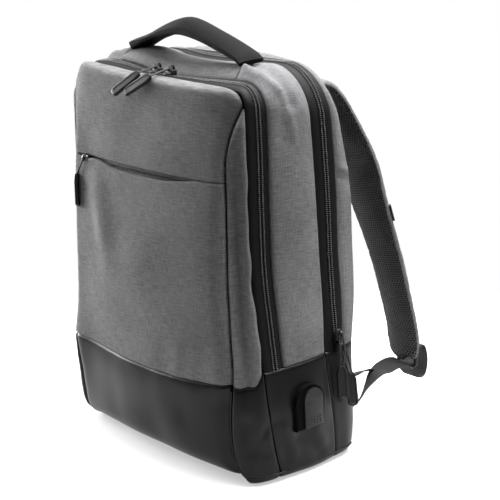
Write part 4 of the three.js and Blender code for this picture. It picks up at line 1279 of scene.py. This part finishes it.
def edge_line(panel, side, inset):
    """The line over a panel at an inset from one of its edges, and the way out of the cloth there."""
    grids = [panel["points"], panel["out"], panel["edge"][side]]
    if side in ("low", "high"):
        grids = [grid.swapaxes(0, 1) for grid in grids]
    if side in ("right", "high"):
        grids = [grid[:, ::-1] for grid in grids]
    points, out, away = grids
    after = np.clip((away < inset).sum(1), 1, away.shape[1] - 1)
    row = np.arange(len(away))
    share = (inset - away[row, after - 1]) / (away[row, after] - away[row, after - 1])
    line, facing = (lerp(grid[row, after - 1], grid[row, after], share[:, None]) for grid in (points, out))
    wide = away[:, -1] > 2 * inset
    return line[wide], facing[wide]


grey_thread = finish("grey_thread", clouded(THREAD_TWIST, GREY_THREAD), Roughness=0.6)
black_thread = finish("black_thread", clouded(THREAD_TWIST, BLACK_THREAD), Roughness=0.6)
stitch_tree = path_tree("stitches", STITCH, single_bead)
cloth_rows = [edge_line(panel, side, STITCH_INSET["zip"]) for panel, side in sewn_edges]
for panel, side, kind in (
    (front_lower, "high", "slit"), (front_upper, "low", "slit"), (front_lower, "low", "hem"),
):
    cloth_rows.append(edge_line(panel, side, STITCH_INSET[kind]))
place_piece(row_along("cloth_stitches", stitch_tree, cloth_rows, grey_thread), "grey_cloth")
pad_rows = [edge_line(back, side, STITCH_INSET["pad"]) for side in ("left", "right", "high")]
place_piece(row_along("back_stitches", stitch_tree, pad_rows, black_thread), "spacer_mesh")

# Handle: a padded band of dark woven cloth that stands in an arch over the top panel. Its flat ends are
# sewn into the panel's seams, and the foam swells between them.
HANDLE_WIDTH = 34
HANDLE_ASIDE = -2
HANDLE_CORNER = 3.0
HANDLE_STEPS = 131
HANDLE_SHARP = 42
HANDLE_SWELL = 1.6
HANDLE_LOOSE = {"from_end": 8, "over": 20}
DOME = {"from": 8, "to": 172, "points": 18, "power": 2.4}
UNDERSIDE_POINTS = 18
# Points up the wall: how far in from the side, and the share of its height.
HANDLE_WALL = ((0, 0.6), (0, 0.8), (0.1, 0.96))
HANDLE_PITCH = 0.0014
HANDLE_COLOURS = ((0.005, 0.005, 0.0052), (0.0125, 0.0125, 0.0128))
HANDLE = table("x low wall crown", (
    (-93, 443.6, 9, 3), (-87, 446.6, 7.5, 3.5), (-72, 453.2, 4.8, 4), (-60, 457.2, 4.2, 5),
    (-46, 461.2, 4.8, 6.5), (-30, 464.4, 6.2, 8), (-15, 466.3, 7.8, 9), (-3, 466.8, 8.6, 9.3),
    (12, 465.4, 8, 8.5), (33, 461.6, 6.2, 8), (56, 455.5, 6.2, 7), (75, 450.2, 6, 5.5),
    (88, 445.8, 5.5, 3.5), (95, 441.5, 5, 1.5),
))


def handle_weave(start):
    place, across, along = cloth_map(start)
    over = ribbed(start, across, HANDLE_PITCH) * ribbed(start, along, HANDLE_PITCH)
    slubs = noise(start, place, (300, 700, 1))
    return {
        "Base Color": blended(start, slubs, *HANDLE_COLOURS),
        "Normal": pressed(start, over * 0.4 + slubs, 0.0005, 0.6),
    }


handle_cloth = finish("handle_cloth", handle_weave, Roughness=0.85, Specular_IOR_Level=0.1)


def domed(wall, crown):
    """Section of the padded band: a flat underside, upright sides and a domed top."""
    half = HANDLE_WIDTH / 2
    aside = np.cos(np.radians(np.linspace(DOME["from"], DOME["to"], DOME["points"])))
    dome = [(half * share, wall + crown * (1 - abs(share) ** DOME["power"])) for share in aside]
    side = [(half - inset, share * wall) for inset, share in HANDLE_WALL]
    bend = [
        (half - HANDLE_CORNER * (1 - math.sin(angle)), HANDLE_CORNER * (1 - math.cos(angle)))
        for angle in np.linspace(0, np.pi / 2, 4)
    ]
    flat = half - HANDLE_CORNER
    under = [(x, 0.0) for x in np.linspace(-flat, flat, UNDERSIDE_POINTS)[1:-1]]
    left = [(-x, z) for x, z in side[::-1]]
    return np.array(side + dome + left + [(-x, z) for x, z in bend[::-1]] + under + bend)


handle_keys = np.arange(float(len(HANDLE["x"])))
steps = np.linspace(0, handle_keys[-1], HANDLE_STEPS)
shape = {name: through(handle_keys, HANDLE[name], steps) for name in HANDLE}
handle_y = lane_depth(2, LANES["top"][2]) + HANDLE_ASIDE
line = np.stack([shape["x"], np.full_like(steps, handle_y), shape["low"]], -1)
tangent = np.gradient(line, axis=0)
tangent[:, 1] = 0
tangent /= np.linalg.norm(tangent, axis=1, keepdims=True)
lift = np.stack([-tangent[:, 2], 0 * steps, tangent[:, 0]], -1)
sections = np.stack([domed(wall, crown) for wall, crown in zip(shape["wall"], shape["crown"])])
rings = line[:, None] + sections[..., :1] * np.array([0, 1, 0]) + sections[..., 1:] * lift[:, None]
girth = run_along(sections, 1)
length = np.broadcast_to(run_along(line, 0)[:, None], girth.shape)
uv = np.stack([girth, length], -1)
handle = make_piece(
    "handle_pad", rings.reshape(-1, 3), loft(rings), handle_cloth, uv.reshape(-1, 2), HANDLE_SHARP
)
from_end = HANDLE["x"][-1] - np.abs(shape["x"])
handle_loose = smooth((from_end - HANDLE_LOOSE["from_end"]) / HANDLE_LOOSE["over"])
swell(handle, np.repeat(handle_loose, rings.shape[1]), HANDLE_SWELL)
place_piece(handle, "handle_cloth", "handle")

# Shoulder straps: foam between grey cloth outside and spacer mesh inside, tapering to a tip, with a
# webbing keeper sewn across the outer face.
STRAP = {"width": 64, "thickness": 11}
STRAP_LINE = table("x y z width thick", (
    (52, 98, 389, 0.96, 0.5), (53, 108, 398, 1, 0.8), (56, 126, 400, 1, 1), (60, 143, 384, 1, 1),
    (68, 162, 346, 0.98, 1), (77.5, 176, 303, 1, 1), (87.5, 182.5, 255, 0.94, 1), (99.5, 194, 194, 0.82, 1),
    (105, 203, 144, 0.78, 1), (107, 212, 100, 0.76, 1), (105, 216, 76, 0.75, 0.95),
    (100.5, 217.8, 63, 0.58, 0.8), (100.5, 218.4, 53, 0.12, 0.4),
))
STRAP_SWELL = 2.2
STRAP_LOOSE = {"edge": 0.5, "end": 0.8}
STRAP_STEPS = 160
STRAP_SIDES = 72
# The part of the girth that the mesh covers, along the strap.
MESH_PART = table("at first last", (
    (0, 0.02, 0.47), (4, 0.03, 0.47), (7, 0.08, 0.47), (9, 0.04, 0.48), (12, 0.03, 0.48),
))
KEEPER = {"first": 6.12, "last": 6.42, "steps": 9, "clear": 0.6, "thickness": 1.8}
KEEPER_WRAP = np.radians(np.linspace(190, 350, 41))
ROUTE_STEP = 0.01
WEBBING_RIBS = {"across": 0.0022, "along": 0.0016}
WEBBING_COLOURS = ((0.014, 0.014, 0.0146), (0.038, 0.038, 0.0392))


def oval(value, power):
    return np.sign(value) * np.abs(value) ** power


def flat_oval(angle, width, thickness, flatness=0.4, roundness=0.8):
    """The section of a padded band."""
    return oval(np.cos(angle), flatness) * width / 2, oval(np.sin(angle), roundness) * thickness / 2


def band_frame(route, at):
    """Points along a route, with the directions across its band and out of its face."""
    keys = np.arange(float(len(route["x"])))
    places = (at, np.minimum(at + ROUTE_STEP, keys[-1]), np.maximum(at - ROUTE_STEP, 0))
    points, ahead, behind = (
        np.stack([through(keys, route[axis], place) for axis in "xyz"], -1) for place in places
    )
    along = (ahead - behind) / np.linalg.norm(ahead - behind, axis=1, keepdims=True)
    across = np.array([1.0, 0, 0]) - along * along[:, :1]
    across /= np.linalg.norm(across, axis=1, keepdims=True)
    if "turn" in route:
        turn = np.radians(through(keys, route["turn"], at))[:, None]
        across = across * np.cos(turn) + np.cross(along, across) * np.sin(turn)
    return points, across, np.cross(along, across)


def webbing_ribs(start):
    place, across, along = cloth_map(start)
    ribs = ribbed(start, along, WEBBING_RIBS["along"])
    cords = ribbed(start, across, WEBBING_RIBS["across"])
    fuzz = noise(start, place, (900, 500, 1))
    return {
        "Base Color": blended(start, fuzz, *WEBBING_COLOURS),
        "Normal": pressed(start, ribs * 0.5 + cords * 0.5 + fuzz, 0.0004, 0.7),
    }


webbing_cloth = finish("webbing", webbing_ribs, Roughness=0.8, Specular_IOR_Level=0.3)


def band_rings(route, at, angles, width, thickness, shape=()):
    """Rings of points round a band along a route, with their places across and along it."""
    points, across, out = band_frame(route, at)
    wide, high = flat_oval(angles[None], width[:, None], thickness[:, None], *shape)
    rings = points[:, None] + wide[..., None] * across[:, None] + high[..., None] * out[:, None]
    run = np.broadcast_to(run_along(points, 0)[:, None], wide.shape)
    return rings, np.stack([wide, run], -1)


def strap_size(at, grow=0):
    """The strap's width and thickness along it, with so much added all round."""
    keys = np.arange(float(len(STRAP_LINE["x"])))
    width = STRAP["width"] * through(keys, STRAP_LINE["width"], at) + 2 * grow
    return width, STRAP["thickness"] * through(keys, STRAP_LINE["thick"], at) + 2 * grow


strap_end = len(STRAP_LINE["x"]) - 1
strap_at = np.linspace(0, strap_end, STRAP_STEPS)
angles = np.linspace(0, 2 * np.pi, STRAP_SIDES, endpoint=False)
strap_rings, strap_uv = band_rings(STRAP_LINE, strap_at, angles, *strap_size(strap_at))
keeper_at = np.linspace(KEEPER["first"], KEEPER["last"], KEEPER["steps"])
keeper_walls = [
    band_rings(STRAP_LINE, keeper_at, KEEPER_WRAP, *strap_size(keeper_at, grow))
    for grow in (KEEPER["clear"] + KEEPER["thickness"], KEEPER["clear"])
]
around = np.arange(STRAP_SIDES) / STRAP_SIDES
first, last = (through(MESH_PART["at"], MESH_PART[end], strap_at[:-1, None]) for end in ("first", "last"))
grey_face = ((around < first) | (around > last)).reshape(-1)
strap_edges = smooth(np.abs(np.sin(angles)) / STRAP_LOOSE["edge"])
strap_ends = smooth(strap_at / STRAP_LOOSE["end"]) * smooth((strap_end - strap_at) / STRAP_LOOSE["end"])
strap_loose = strap_edges[None] * strap_ends[:, None]
for side, mirror in SIDES:
    flip = np.array([mirror, 1, 1])
    strap = make_piece(
        f"strap_{side}_pad", (strap_rings * flip).reshape(-1, 3), loft(strap_rings), spacer_mesh,
        strap_uv.reshape(-1, 2),
    )
    swell(strap, strap_loose.reshape(-1), STRAP_SWELL)
    strap.data.materials.append(grey_cloth)
    kinds = np.ones(len(strap.data.polygons), np.int32)
    kinds[: len(grey_face)] = grey_face
    strap.data.polygons.foreach_set("material_index", kinds)
    place_piece(strap, "spacer_mesh", f"strap_{side}")
    outer, inner = (wall[0].reshape(-1, 3) * flip for wall in keeper_walls)
    body, packed, used = walled(outer, inner, grid_faces(len(keeper_at), len(KEEPER_WRAP)))
    keeper_uv = keeper_walls[0][1].reshape(-1, 2)[used]
    keeper = make_piece(f"strap_keeper_{side}_band", body, packed, webbing_cloth, keeper_uv)
    place_piece(keeper, "webbing", f"strap_keeper_{side}")

# Ladder locks and webbing: a moulded lock with two slots at each strap's tip, and flat ribbed webbing
# that runs from the lower back seam through the lock, with its tail curled back towards the bag.
WEBBING = {"width": 22, "thickness": 1.6}
WEBBING_LINE = table("x y z turn", (
    (143, 84, 38, -38), (143, 98, 43, -42), (139, 114, 49.1, -46), (133.5, 132, 56.8, -26),
    (127.5, 148, 61.6, -2), (121.7, 166, 61.7, 20), (117.3, 184, 61, 20), (111, 204, 55.9, 12),
    (103, 218, 47.6, 0), (103, 227, 49.4, 0), (103, 234, 56, 0), (103, 239, 67, 0), (103, 245, 63, 0),
    (103, 248, 46, 0), (103, 243, 29, 0), (103, 230, 29.5, 0), (102, 220.5, 41.5, 8), (101, 203, 49.5, 20),
    (105, 168, 54, 14), (116, 133.4, 64.6, 26), (130, 104, 69.5, 30),
))
WEBBING_SHAPE = (0.1, 0.45)
WEBBING_STEPS = 260
WEBBING_SIDES = 24
LOCK_EDGE = {"width": 0.9, "segments": 3, "from": 30, "sharp": 38}
LOCK_COLOURS = ((0.003, 0.003, 0.003), (0.006, 0.006, 0.006))
moulded = clouded(60, LOCK_COLOURS, rough=(0.38, 0.14), grain=(1500, 2.0), relief=(0.0002, 0.3))
buckle_plastic = finish("buckle_plastic", moulded, Specular_IOR_Level=0.3)


def rounded_copy(node, name, material):
    """A copy of a hard solid with its edges rounded, as moulded pieces have them."""
    copy = bmesh.new()
    copy.from_mesh(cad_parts[node].data)
    bmesh.ops.remove_doubles(copy, verts=copy.verts, dist=1e-6)
    bmesh.ops.dissolve_limit(copy, angle_limit=math.radians(1), verts=copy.verts, edges=copy.edges)
    least = math.radians(LOCK_EDGE["from"])
    sharp = [edge for edge in copy.edges if edge.is_manifold and edge.calc_face_angle() > least]
    bmesh.ops.bevel(
        copy, geom=sharp, offset=LOCK_EDGE["width"] * MM, segments=LOCK_EDGE["segments"], profile=0.5,
        affect="EDGES", clamp_overlap=True,
    )
    bmesh.ops.triangulate(copy, faces=[face for face in copy.faces if len(face.verts) > 4])
    mesh = bpy.data.meshes.new(name)
    copy.to_mesh(mesh)
    copy.free()
    mesh.materials.clear()
    mesh.materials.append(material)
    return shaded(name, mesh, LOCK_EDGE["sharp"])


webbing_at = np.linspace(0, len(WEBBING_LINE["x"]) - 1, WEBBING_STEPS)
webbing_angles = np.linspace(0, 2 * np.pi, WEBBING_SIDES, endpoint=False)
flat_size = [np.full(len(webbing_at), float(WEBBING[key])) for key in ("width", "thickness")]
webbing_rings, webbing_uv = band_rings(WEBBING_LINE, webbing_at, webbing_angles, *flat_size, WEBBING_SHAPE)
for side, mirror in SIDES:
    flip = np.array([mirror, 1, 1])
    ribbon = make_piece(
        f"webbing_{side}_band", (webbing_rings * flip).reshape(-1, 3), loft(webbing_rings), webbing_cloth,
        webbing_uv.reshape(-1, 2),
    )
    place_piece(ribbon, "webbing", f"webbing_{side}")
    lock = rounded_copy(f"ladder_lock_{side}", f"ladder_lock_{side}_moulding", buckle_plastic)
    place_piece(lock, "buckle_plastic", f"ladder_lock_{side}")

# Zip sliders and pulls: a cast slider with a bail on the coil, and a braided cord loop through the bail
# with both ends moulded into a rubber tab with a raised rim.
SLIDER = {"height": 3, "sink": 0.4, "bail": 5.6, "below": 2.5, "bevel": 0.8}
SLIDER_HALF = ((-6.5, 2.6), (-5.2, 4.0), (2.6, 4.5), (5.6, 3.0), (6.5, 1.4))
BAIL = {"reach": 4.6, "width": 3.0, "thick": 1.5, "section": (0.5, 0.7), "arch": 0.7, "foot": 0.15}
BAIL_STEPS = 25
BAIL_SIDES = 12
PULL = {"cord": 1.0, "leg": 2.5, "length": 38, "width": 12, "thick": 4.4, "neck": 8, "cut": 0.45}
TAB_BEVEL = 1.3
TAB_RIM = (1.2, 0.5)
CORD_STEPS = 60
PLATE_SHARP = 40
METAL_COLOURS = ((0.02, 0.02, 0.021), (0.05, 0.05, 0.052))
RUBBER_COLOURS = ((0.007, 0.007, 0.0073), (0.013, 0.013, 0.0134))
CORD_COLOURS = ((0.008, 0.008, 0.008), (0.03, 0.03, 0.03))
FRONT_SLIDERS = (
    # name, place across, cord length, the way its cord runs, the way its tab hangs
    ("front_zip_first", 7, 35.5, (0.243, -0.966, -0.08), (-0.762, -0.398, -0.51)),
    ("front_zip_second", -16, 34.3, (0.285, -0.955, -0.06), (-0.6, -0.55, -0.58)),
)
FRONT_FACING = (0, -0.8, 0.6)
MAIN_SLIDERS = (
    # name, place up the side, cord length, the ways its cord runs and its tab hangs, how far the cord bows
    ("main_zip_first", 2.064, 34, (0.07, -0.11, -0.99), (0.1, -0.045, -1), 4),
    ("main_zip_second", 2.012, 33, (0.06, 0.27, -0.95), (0.1, -0.02, -1), 0),
)
SIDE_FACING = (0.9, -0.42, 0.05)
POCKET_PLACE = {"across": -0.83, "below": 3.0, "sunk": 1.5, "cord": 24}
POCKET_ALONG = np.array([1.0, 0, 0])
POCKET_OUT = (-0.35, -1, 0)
POCKET_RUN = (-0.65, -0.14, -1)
POCKET_HANG = (0, -0.04, -1)
POCKET_FACING = (-0.85, -0.5, 0)
COIL_TOP = 2.6
COIL_REACH = np.array([-0.02, 0, 0.02])
cast_metal = clouded(400, METAL_COLOURS, 3.0, rough=(0.3, 0.2))
slider_metal = finish("slider_metal", cast_metal, Metallic=0.6)
soft_rubber = clouded(80, RUBBER_COLOURS, rough=(0.42, 0.14), grain=(1800, 2.0), relief=(0.0002, 0.35))
pull_rubber = finish("pull_rubber", soft_rubber, Specular_IOR_Level=0.35)
braided_cord = clouded(1400, CORD_COLOURS, 1.0, relief=(0.0006, 0.6))
pull_cord = finish("pull_cord", braided_cord, Roughness=0.7)


def unit(vector):
    return np.array(vector, float) / np.linalg.norm(vector)


def prism(outline, low, high, bevel, rim=None):
    """A plate of an outline in the XY plane, with rounded edges and, where rim is given, sunk faces."""
    plate = bmesh.new()
    bottom = [plate.verts.new((x, y, low)) for x, y in outline]
    top = [plate.verts.new((x, y, high)) for x, y in outline]
    count = len(outline)
    caps = [plate.faces.new(top), plate.faces.new(bottom[::-1])]
    for i in range(count):
        after = (i + 1) % count
        plate.faces.new((bottom[i], bottom[after], top[after], top[i]))
    edges = [edge for face in caps for edge in face.edges]
    bmesh.ops.bevel(
        plate, geom=edges, offset=bevel, segments=4, profile=0.5, affect="EDGES", clamp_overlap=True
    )
    if rim:
        faces = sorted(plate.faces, key=lambda face: -face.calc_area())[:2]
        bmesh.ops.inset_individual(plate, faces=faces, thickness=rim[0], depth=0)
        bmesh.ops.inset_individual(plate, faces=faces, thickness=rim[1], depth=-rim[1])
    return plate


def from_rings(rings):
    """A closed body through rings of points, to be assembled."""
    made = bmesh.new()
    verts = [made.verts.new(point) for point in rings.reshape(-1, 3)]
    for face in loft(rings):
        made.faces.new([verts[i] for i in face])
    return made


def assemble(name, parts, basis, origin, slot, node):
    """Joins parts in millimetres, each with its material, into one piece at its place."""
    matrix = Matrix(np.array(basis).T.tolist()).to_4x4()
    matrix.translation = origin
    whole = bmesh.new()
    mesh = bpy.data.meshes.new(name)
    for index, (part, material) in enumerate(parts):
        before = len(whole.faces)
        spare = bpy.data.meshes.new(name + "_part")
        part.to_mesh(spare)
        part.free()
        whole.from_mesh(spare)
        bpy.data.meshes.remove(spare)
        whole.faces.ensure_lookup_table()
        for face in whole.faces[before:]:
            face.material_index = index
        mesh.materials.append(material)
    bmesh.ops.transform(whole, matrix=Matrix.Scale(MM, 4) @ matrix, verts=whole.verts)
    bmesh.ops.recalc_face_normals(whole, faces=whole.faces)
    bmesh.ops.triangulate(whole, faces=[face for face in whole.faces if len(face.verts) > 4])
    whole.to_mesh(mesh)
    whole.free()
    place_piece(shaded(name, mesh, PLATE_SHARP), slot, node)


def slider_body(turn):
    """A slider's cast body and the bail over it, which is turned towards its pull."""
    outline = [(x, -y) for x, y in SLIDER_HALF] + [(x, y) for x, y in SLIDER_HALF[::-1]]
    half = SLIDER["height"] / 2
    yield prism(outline, -half - SLIDER["below"], half, SLIDER["bevel"])
    sweep = np.linspace(-BAIL["foot"], np.pi + BAIL["foot"], BAIL_STEPS)
    aside = BAIL["reach"] * oval(np.cos(sweep), BAIL["arch"])
    above = (SLIDER["bail"] - SLIDER["bevel"]) * oval(np.sin(sweep), BAIL["arch"])
    bow = np.stack([aside, 0 * sweep, half - SLIDER["sink"] + above], -1)
    angles = np.linspace(0, 2 * np.pi, BAIL_SIDES, endpoint=False)
    along = np.gradient(bow, axis=0)
    along /= np.linalg.norm(along, axis=1, keepdims=True)
    rise = np.stack([-along[:, 2], 0 * sweep, along[:, 0]], -1)
    wide, high = flat_oval(angles, BAIL["width"], BAIL["thick"], *BAIL["section"])
    rings = bow[:, None] + wide[None, :, None] * np.array([0, 1.0, 0]) + high[None, :, None] * rise[:, None]
    spin = np.array([[math.cos(turn), -math.sin(turn), 0], [math.sin(turn), math.cos(turn), 0], [0, 0, 1]])
    yield from_rings(rings @ spin.T)


def pull_parts(cord_length, bow):
    """A pull's cord loop and its tab, both along the cord's run."""
    leg = PULL["leg"]
    half = [(cord_length + 3, leg * 0.6, 0), (cord_length * 0.5, leg, bow), (2.5, leg * 0.9, 0)]
    knots = np.array([(x, -y, z) for x, y, z in half] + [(0, 0, 0)] + half[::-1], float)
    keys = np.arange(float(len(knots)))
    at = np.linspace(0, keys[-1], CORD_STEPS)
    line = np.stack([through(keys, knots[:, axis], at) for axis in range(3)], -1)
    yield from_rings(tube(line, PULL["cord"]))
    wide = PULL["width"] / 2
    tip = cord_length + PULL["length"]
    cut = PULL["cut"] * wide
    neck = leg + PULL["cord"]
    edge = [(cord_length, neck), (cord_length + PULL["neck"], wide), (tip - cut, wide), (tip, wide - cut)]
    outline = [(x, -y) for x, y in edge] + edge[::-1]
    yield prism(outline, -PULL["thick"] / 2, PULL["thick"] / 2, TAB_BEVEL, TAB_RIM)


def pull_axes(run, facing):
    """The directions along, across and out of a pull that runs one way and faces another."""
    along = unit(run)
    across = unit(np.cross(facing, along))
    return np.stack([along, across, np.cross(along, across)])


def fastening(name, foot, along, out, run, hang, cord_length, facing, bow=0):
    """A slider on its tape and the pull on its bail: its cord runs one way and its tab hangs another."""
    normal = unit(out)
    plain = unit(along - np.dot(along, normal) * normal)
    side = np.cross(normal, plain)
    flat = np.array(run) - np.dot(run, normal) * normal
    turn = math.atan2(flat @ side, flat @ plain)
    body, bail = slider_body(turn)
    origin = foot + normal * SLIDER["height"] / 2
    assemble(
        f"{name}_slider_body", [(body, slider_metal), (bail, slider_metal)], (plain, side, normal), origin,
        "slider_metal", f"{name}_slider",
    )
    axes = pull_axes(run, facing)
    bent = axes @ pull_axes(hang, facing).T
    origin = foot + normal * (SLIDER["height"] - SLIDER["sink"] + SLIDER["bail"] / 2)
    cord, tab = pull_parts(cord_length, bow)
    turn = Matrix(bent.tolist()).to_4x4()
    turn.translation = Vector((cord_length, 0, 0)) - turn.to_3x3() @ Vector((cord_length, 0, 0))
    bmesh.ops.transform(tab, matrix=turn, verts=tab.verts)
    assemble(
        f"{name}_pull_tab", [(tab, pull_rubber), (cord, pull_cord)], axes, origin,
        "pull_rubber", f"{name}_pull",
    )


def coil_top(place, lane):
    """The top of a zip's coil, the tape's direction and its outward normal there."""
    grid = skin(place + COIL_REACH[:, None], lane + COIL_REACH[None])
    out = normals_of(grid)[1, 1]
    return grid[1, 1] + out * COIL_TOP, grid[2, 1] - grid[0, 1], out


TOP_FLAT = float(lane_half(1, LANES["top"][2]))
for name, x, cord_length, run, hang in FRONT_SLIDERS:
    place = 5 - x / TOP_FLAT
    seat = coil_top(place, coil_share("front_zip", place))
    fastening(name, *seat, run, hang, cord_length, FRONT_FACING)
for name, place, cord_length, run, hang, bow in MAIN_SLIDERS:
    seat = coil_top(place, 3 + coil_share("main_zip", place))
    fastening(name, *seat, run, hang, cord_length, SIDE_FACING, bow)
pocket_foot = front_face(POCKET_PLACE["across"], POCKET_HEIGHT - POCKET_PLACE["below"])
pocket_foot = pocket_foot + inward(pocket_foot) * POCKET_PLACE["sunk"]
fastening(
    "pocket", pocket_foot, POCKET_ALONG, POCKET_OUT, POCKET_RUN, POCKET_HANG, POCKET_PLACE["cord"],
    POCKET_FACING,
)

# Charging port: a moulded housing through the right base side, closed by a rubber flap with grip dots
# along its lower edge.
FLAP = {"width": 27, "height": 44, "thickness": 2.4, "y": 3, "z": -1, "bevel": 0.9}
PORT_BEVEL = 3.0
ARCH_POINTS = 25
# The housing's near-black colour is partly dark plastic and partly painted shade: it stands for the deep
# shadow of the opening beside the flap.
SHELL_AND_SHADE_COLOURS = ((0.0015, 0.0015, 0.0015), (0.003, 0.003, 0.003))
DOTS = {"pitch": 4.2, "along": 0.95, "across": 0.95, "height": 0.7}
DOT_ROWS = (3.5, 6.8, 10.1)
DOT_REACH = 2 * DOTS["pitch"]
PORT_FACE = float(at_height("half", USB["z"])) + USB["stand"]
UPRIGHT = ((0, 1, 0), (0, 0, 1), (1, 0, 0))


def round_top(width, height):
    """An upright outline with a flat foot and a half round top."""
    half, foot = width / 2, -height / 2
    turns = np.linspace(0, np.pi, ARCH_POINTS)
    arch = [(half * math.cos(turn), half * math.sin(turn) - half - foot) for turn in turns]
    return [(-half, foot), (half, foot), *arch]


# Near black with little gloss, so that the housing reads as the shadowed opening: dark plastic and painted
# shade.
port_shell_and_painted_shade = finish("port_shell_and_painted_shade", clouded(90, SHELL_AND_SHADE_COLOURS, rough=(0.6, 0.2)), Specular_IOR_Level=0.06)
housing = prism(round_top(USB["width"], USB["height"]), -USB["stand"] - USB["buried"], 0, PORT_BEVEL)
assemble(
    "usb_port_housing", [(housing, port_shell_and_painted_shade)], UPRIGHT, (PORT_FACE, USB["y"], USB["z"]),
    "buckle_plastic", "usb_port",
)
cover = prism(round_top(FLAP["width"], FLAP["height"]), GAP, GAP + FLAP["thickness"], FLAP["bevel"])
flap_middle = (PORT_FACE, USB["y"] + FLAP["y"], USB["z"] + FLAP["z"])
assemble("usb_flap_cover", [(cover, pull_rubber)], UPRIGHT, flap_middle, "pull_rubber", "usb_flap")
flap_face = PORT_FACE + GAP + FLAP["thickness"]
flap_foot = flap_middle[2] - FLAP["height"] / 2
dot_lines = []
for height in DOT_ROWS:
    ends = [(flap_face, flap_middle[1] + reach, flap_foot + height) for reach in (-DOT_REACH, DOT_REACH)]
    dot_lines.append((np.array(ends), np.array([(1.0, 0, 0)] * 2)))
dots = row_along("usb_flap_dots", path_tree("grip_dots", DOTS, single_bead), dot_lines, pull_rubber)
place_piece(dots, "pull_rubber")
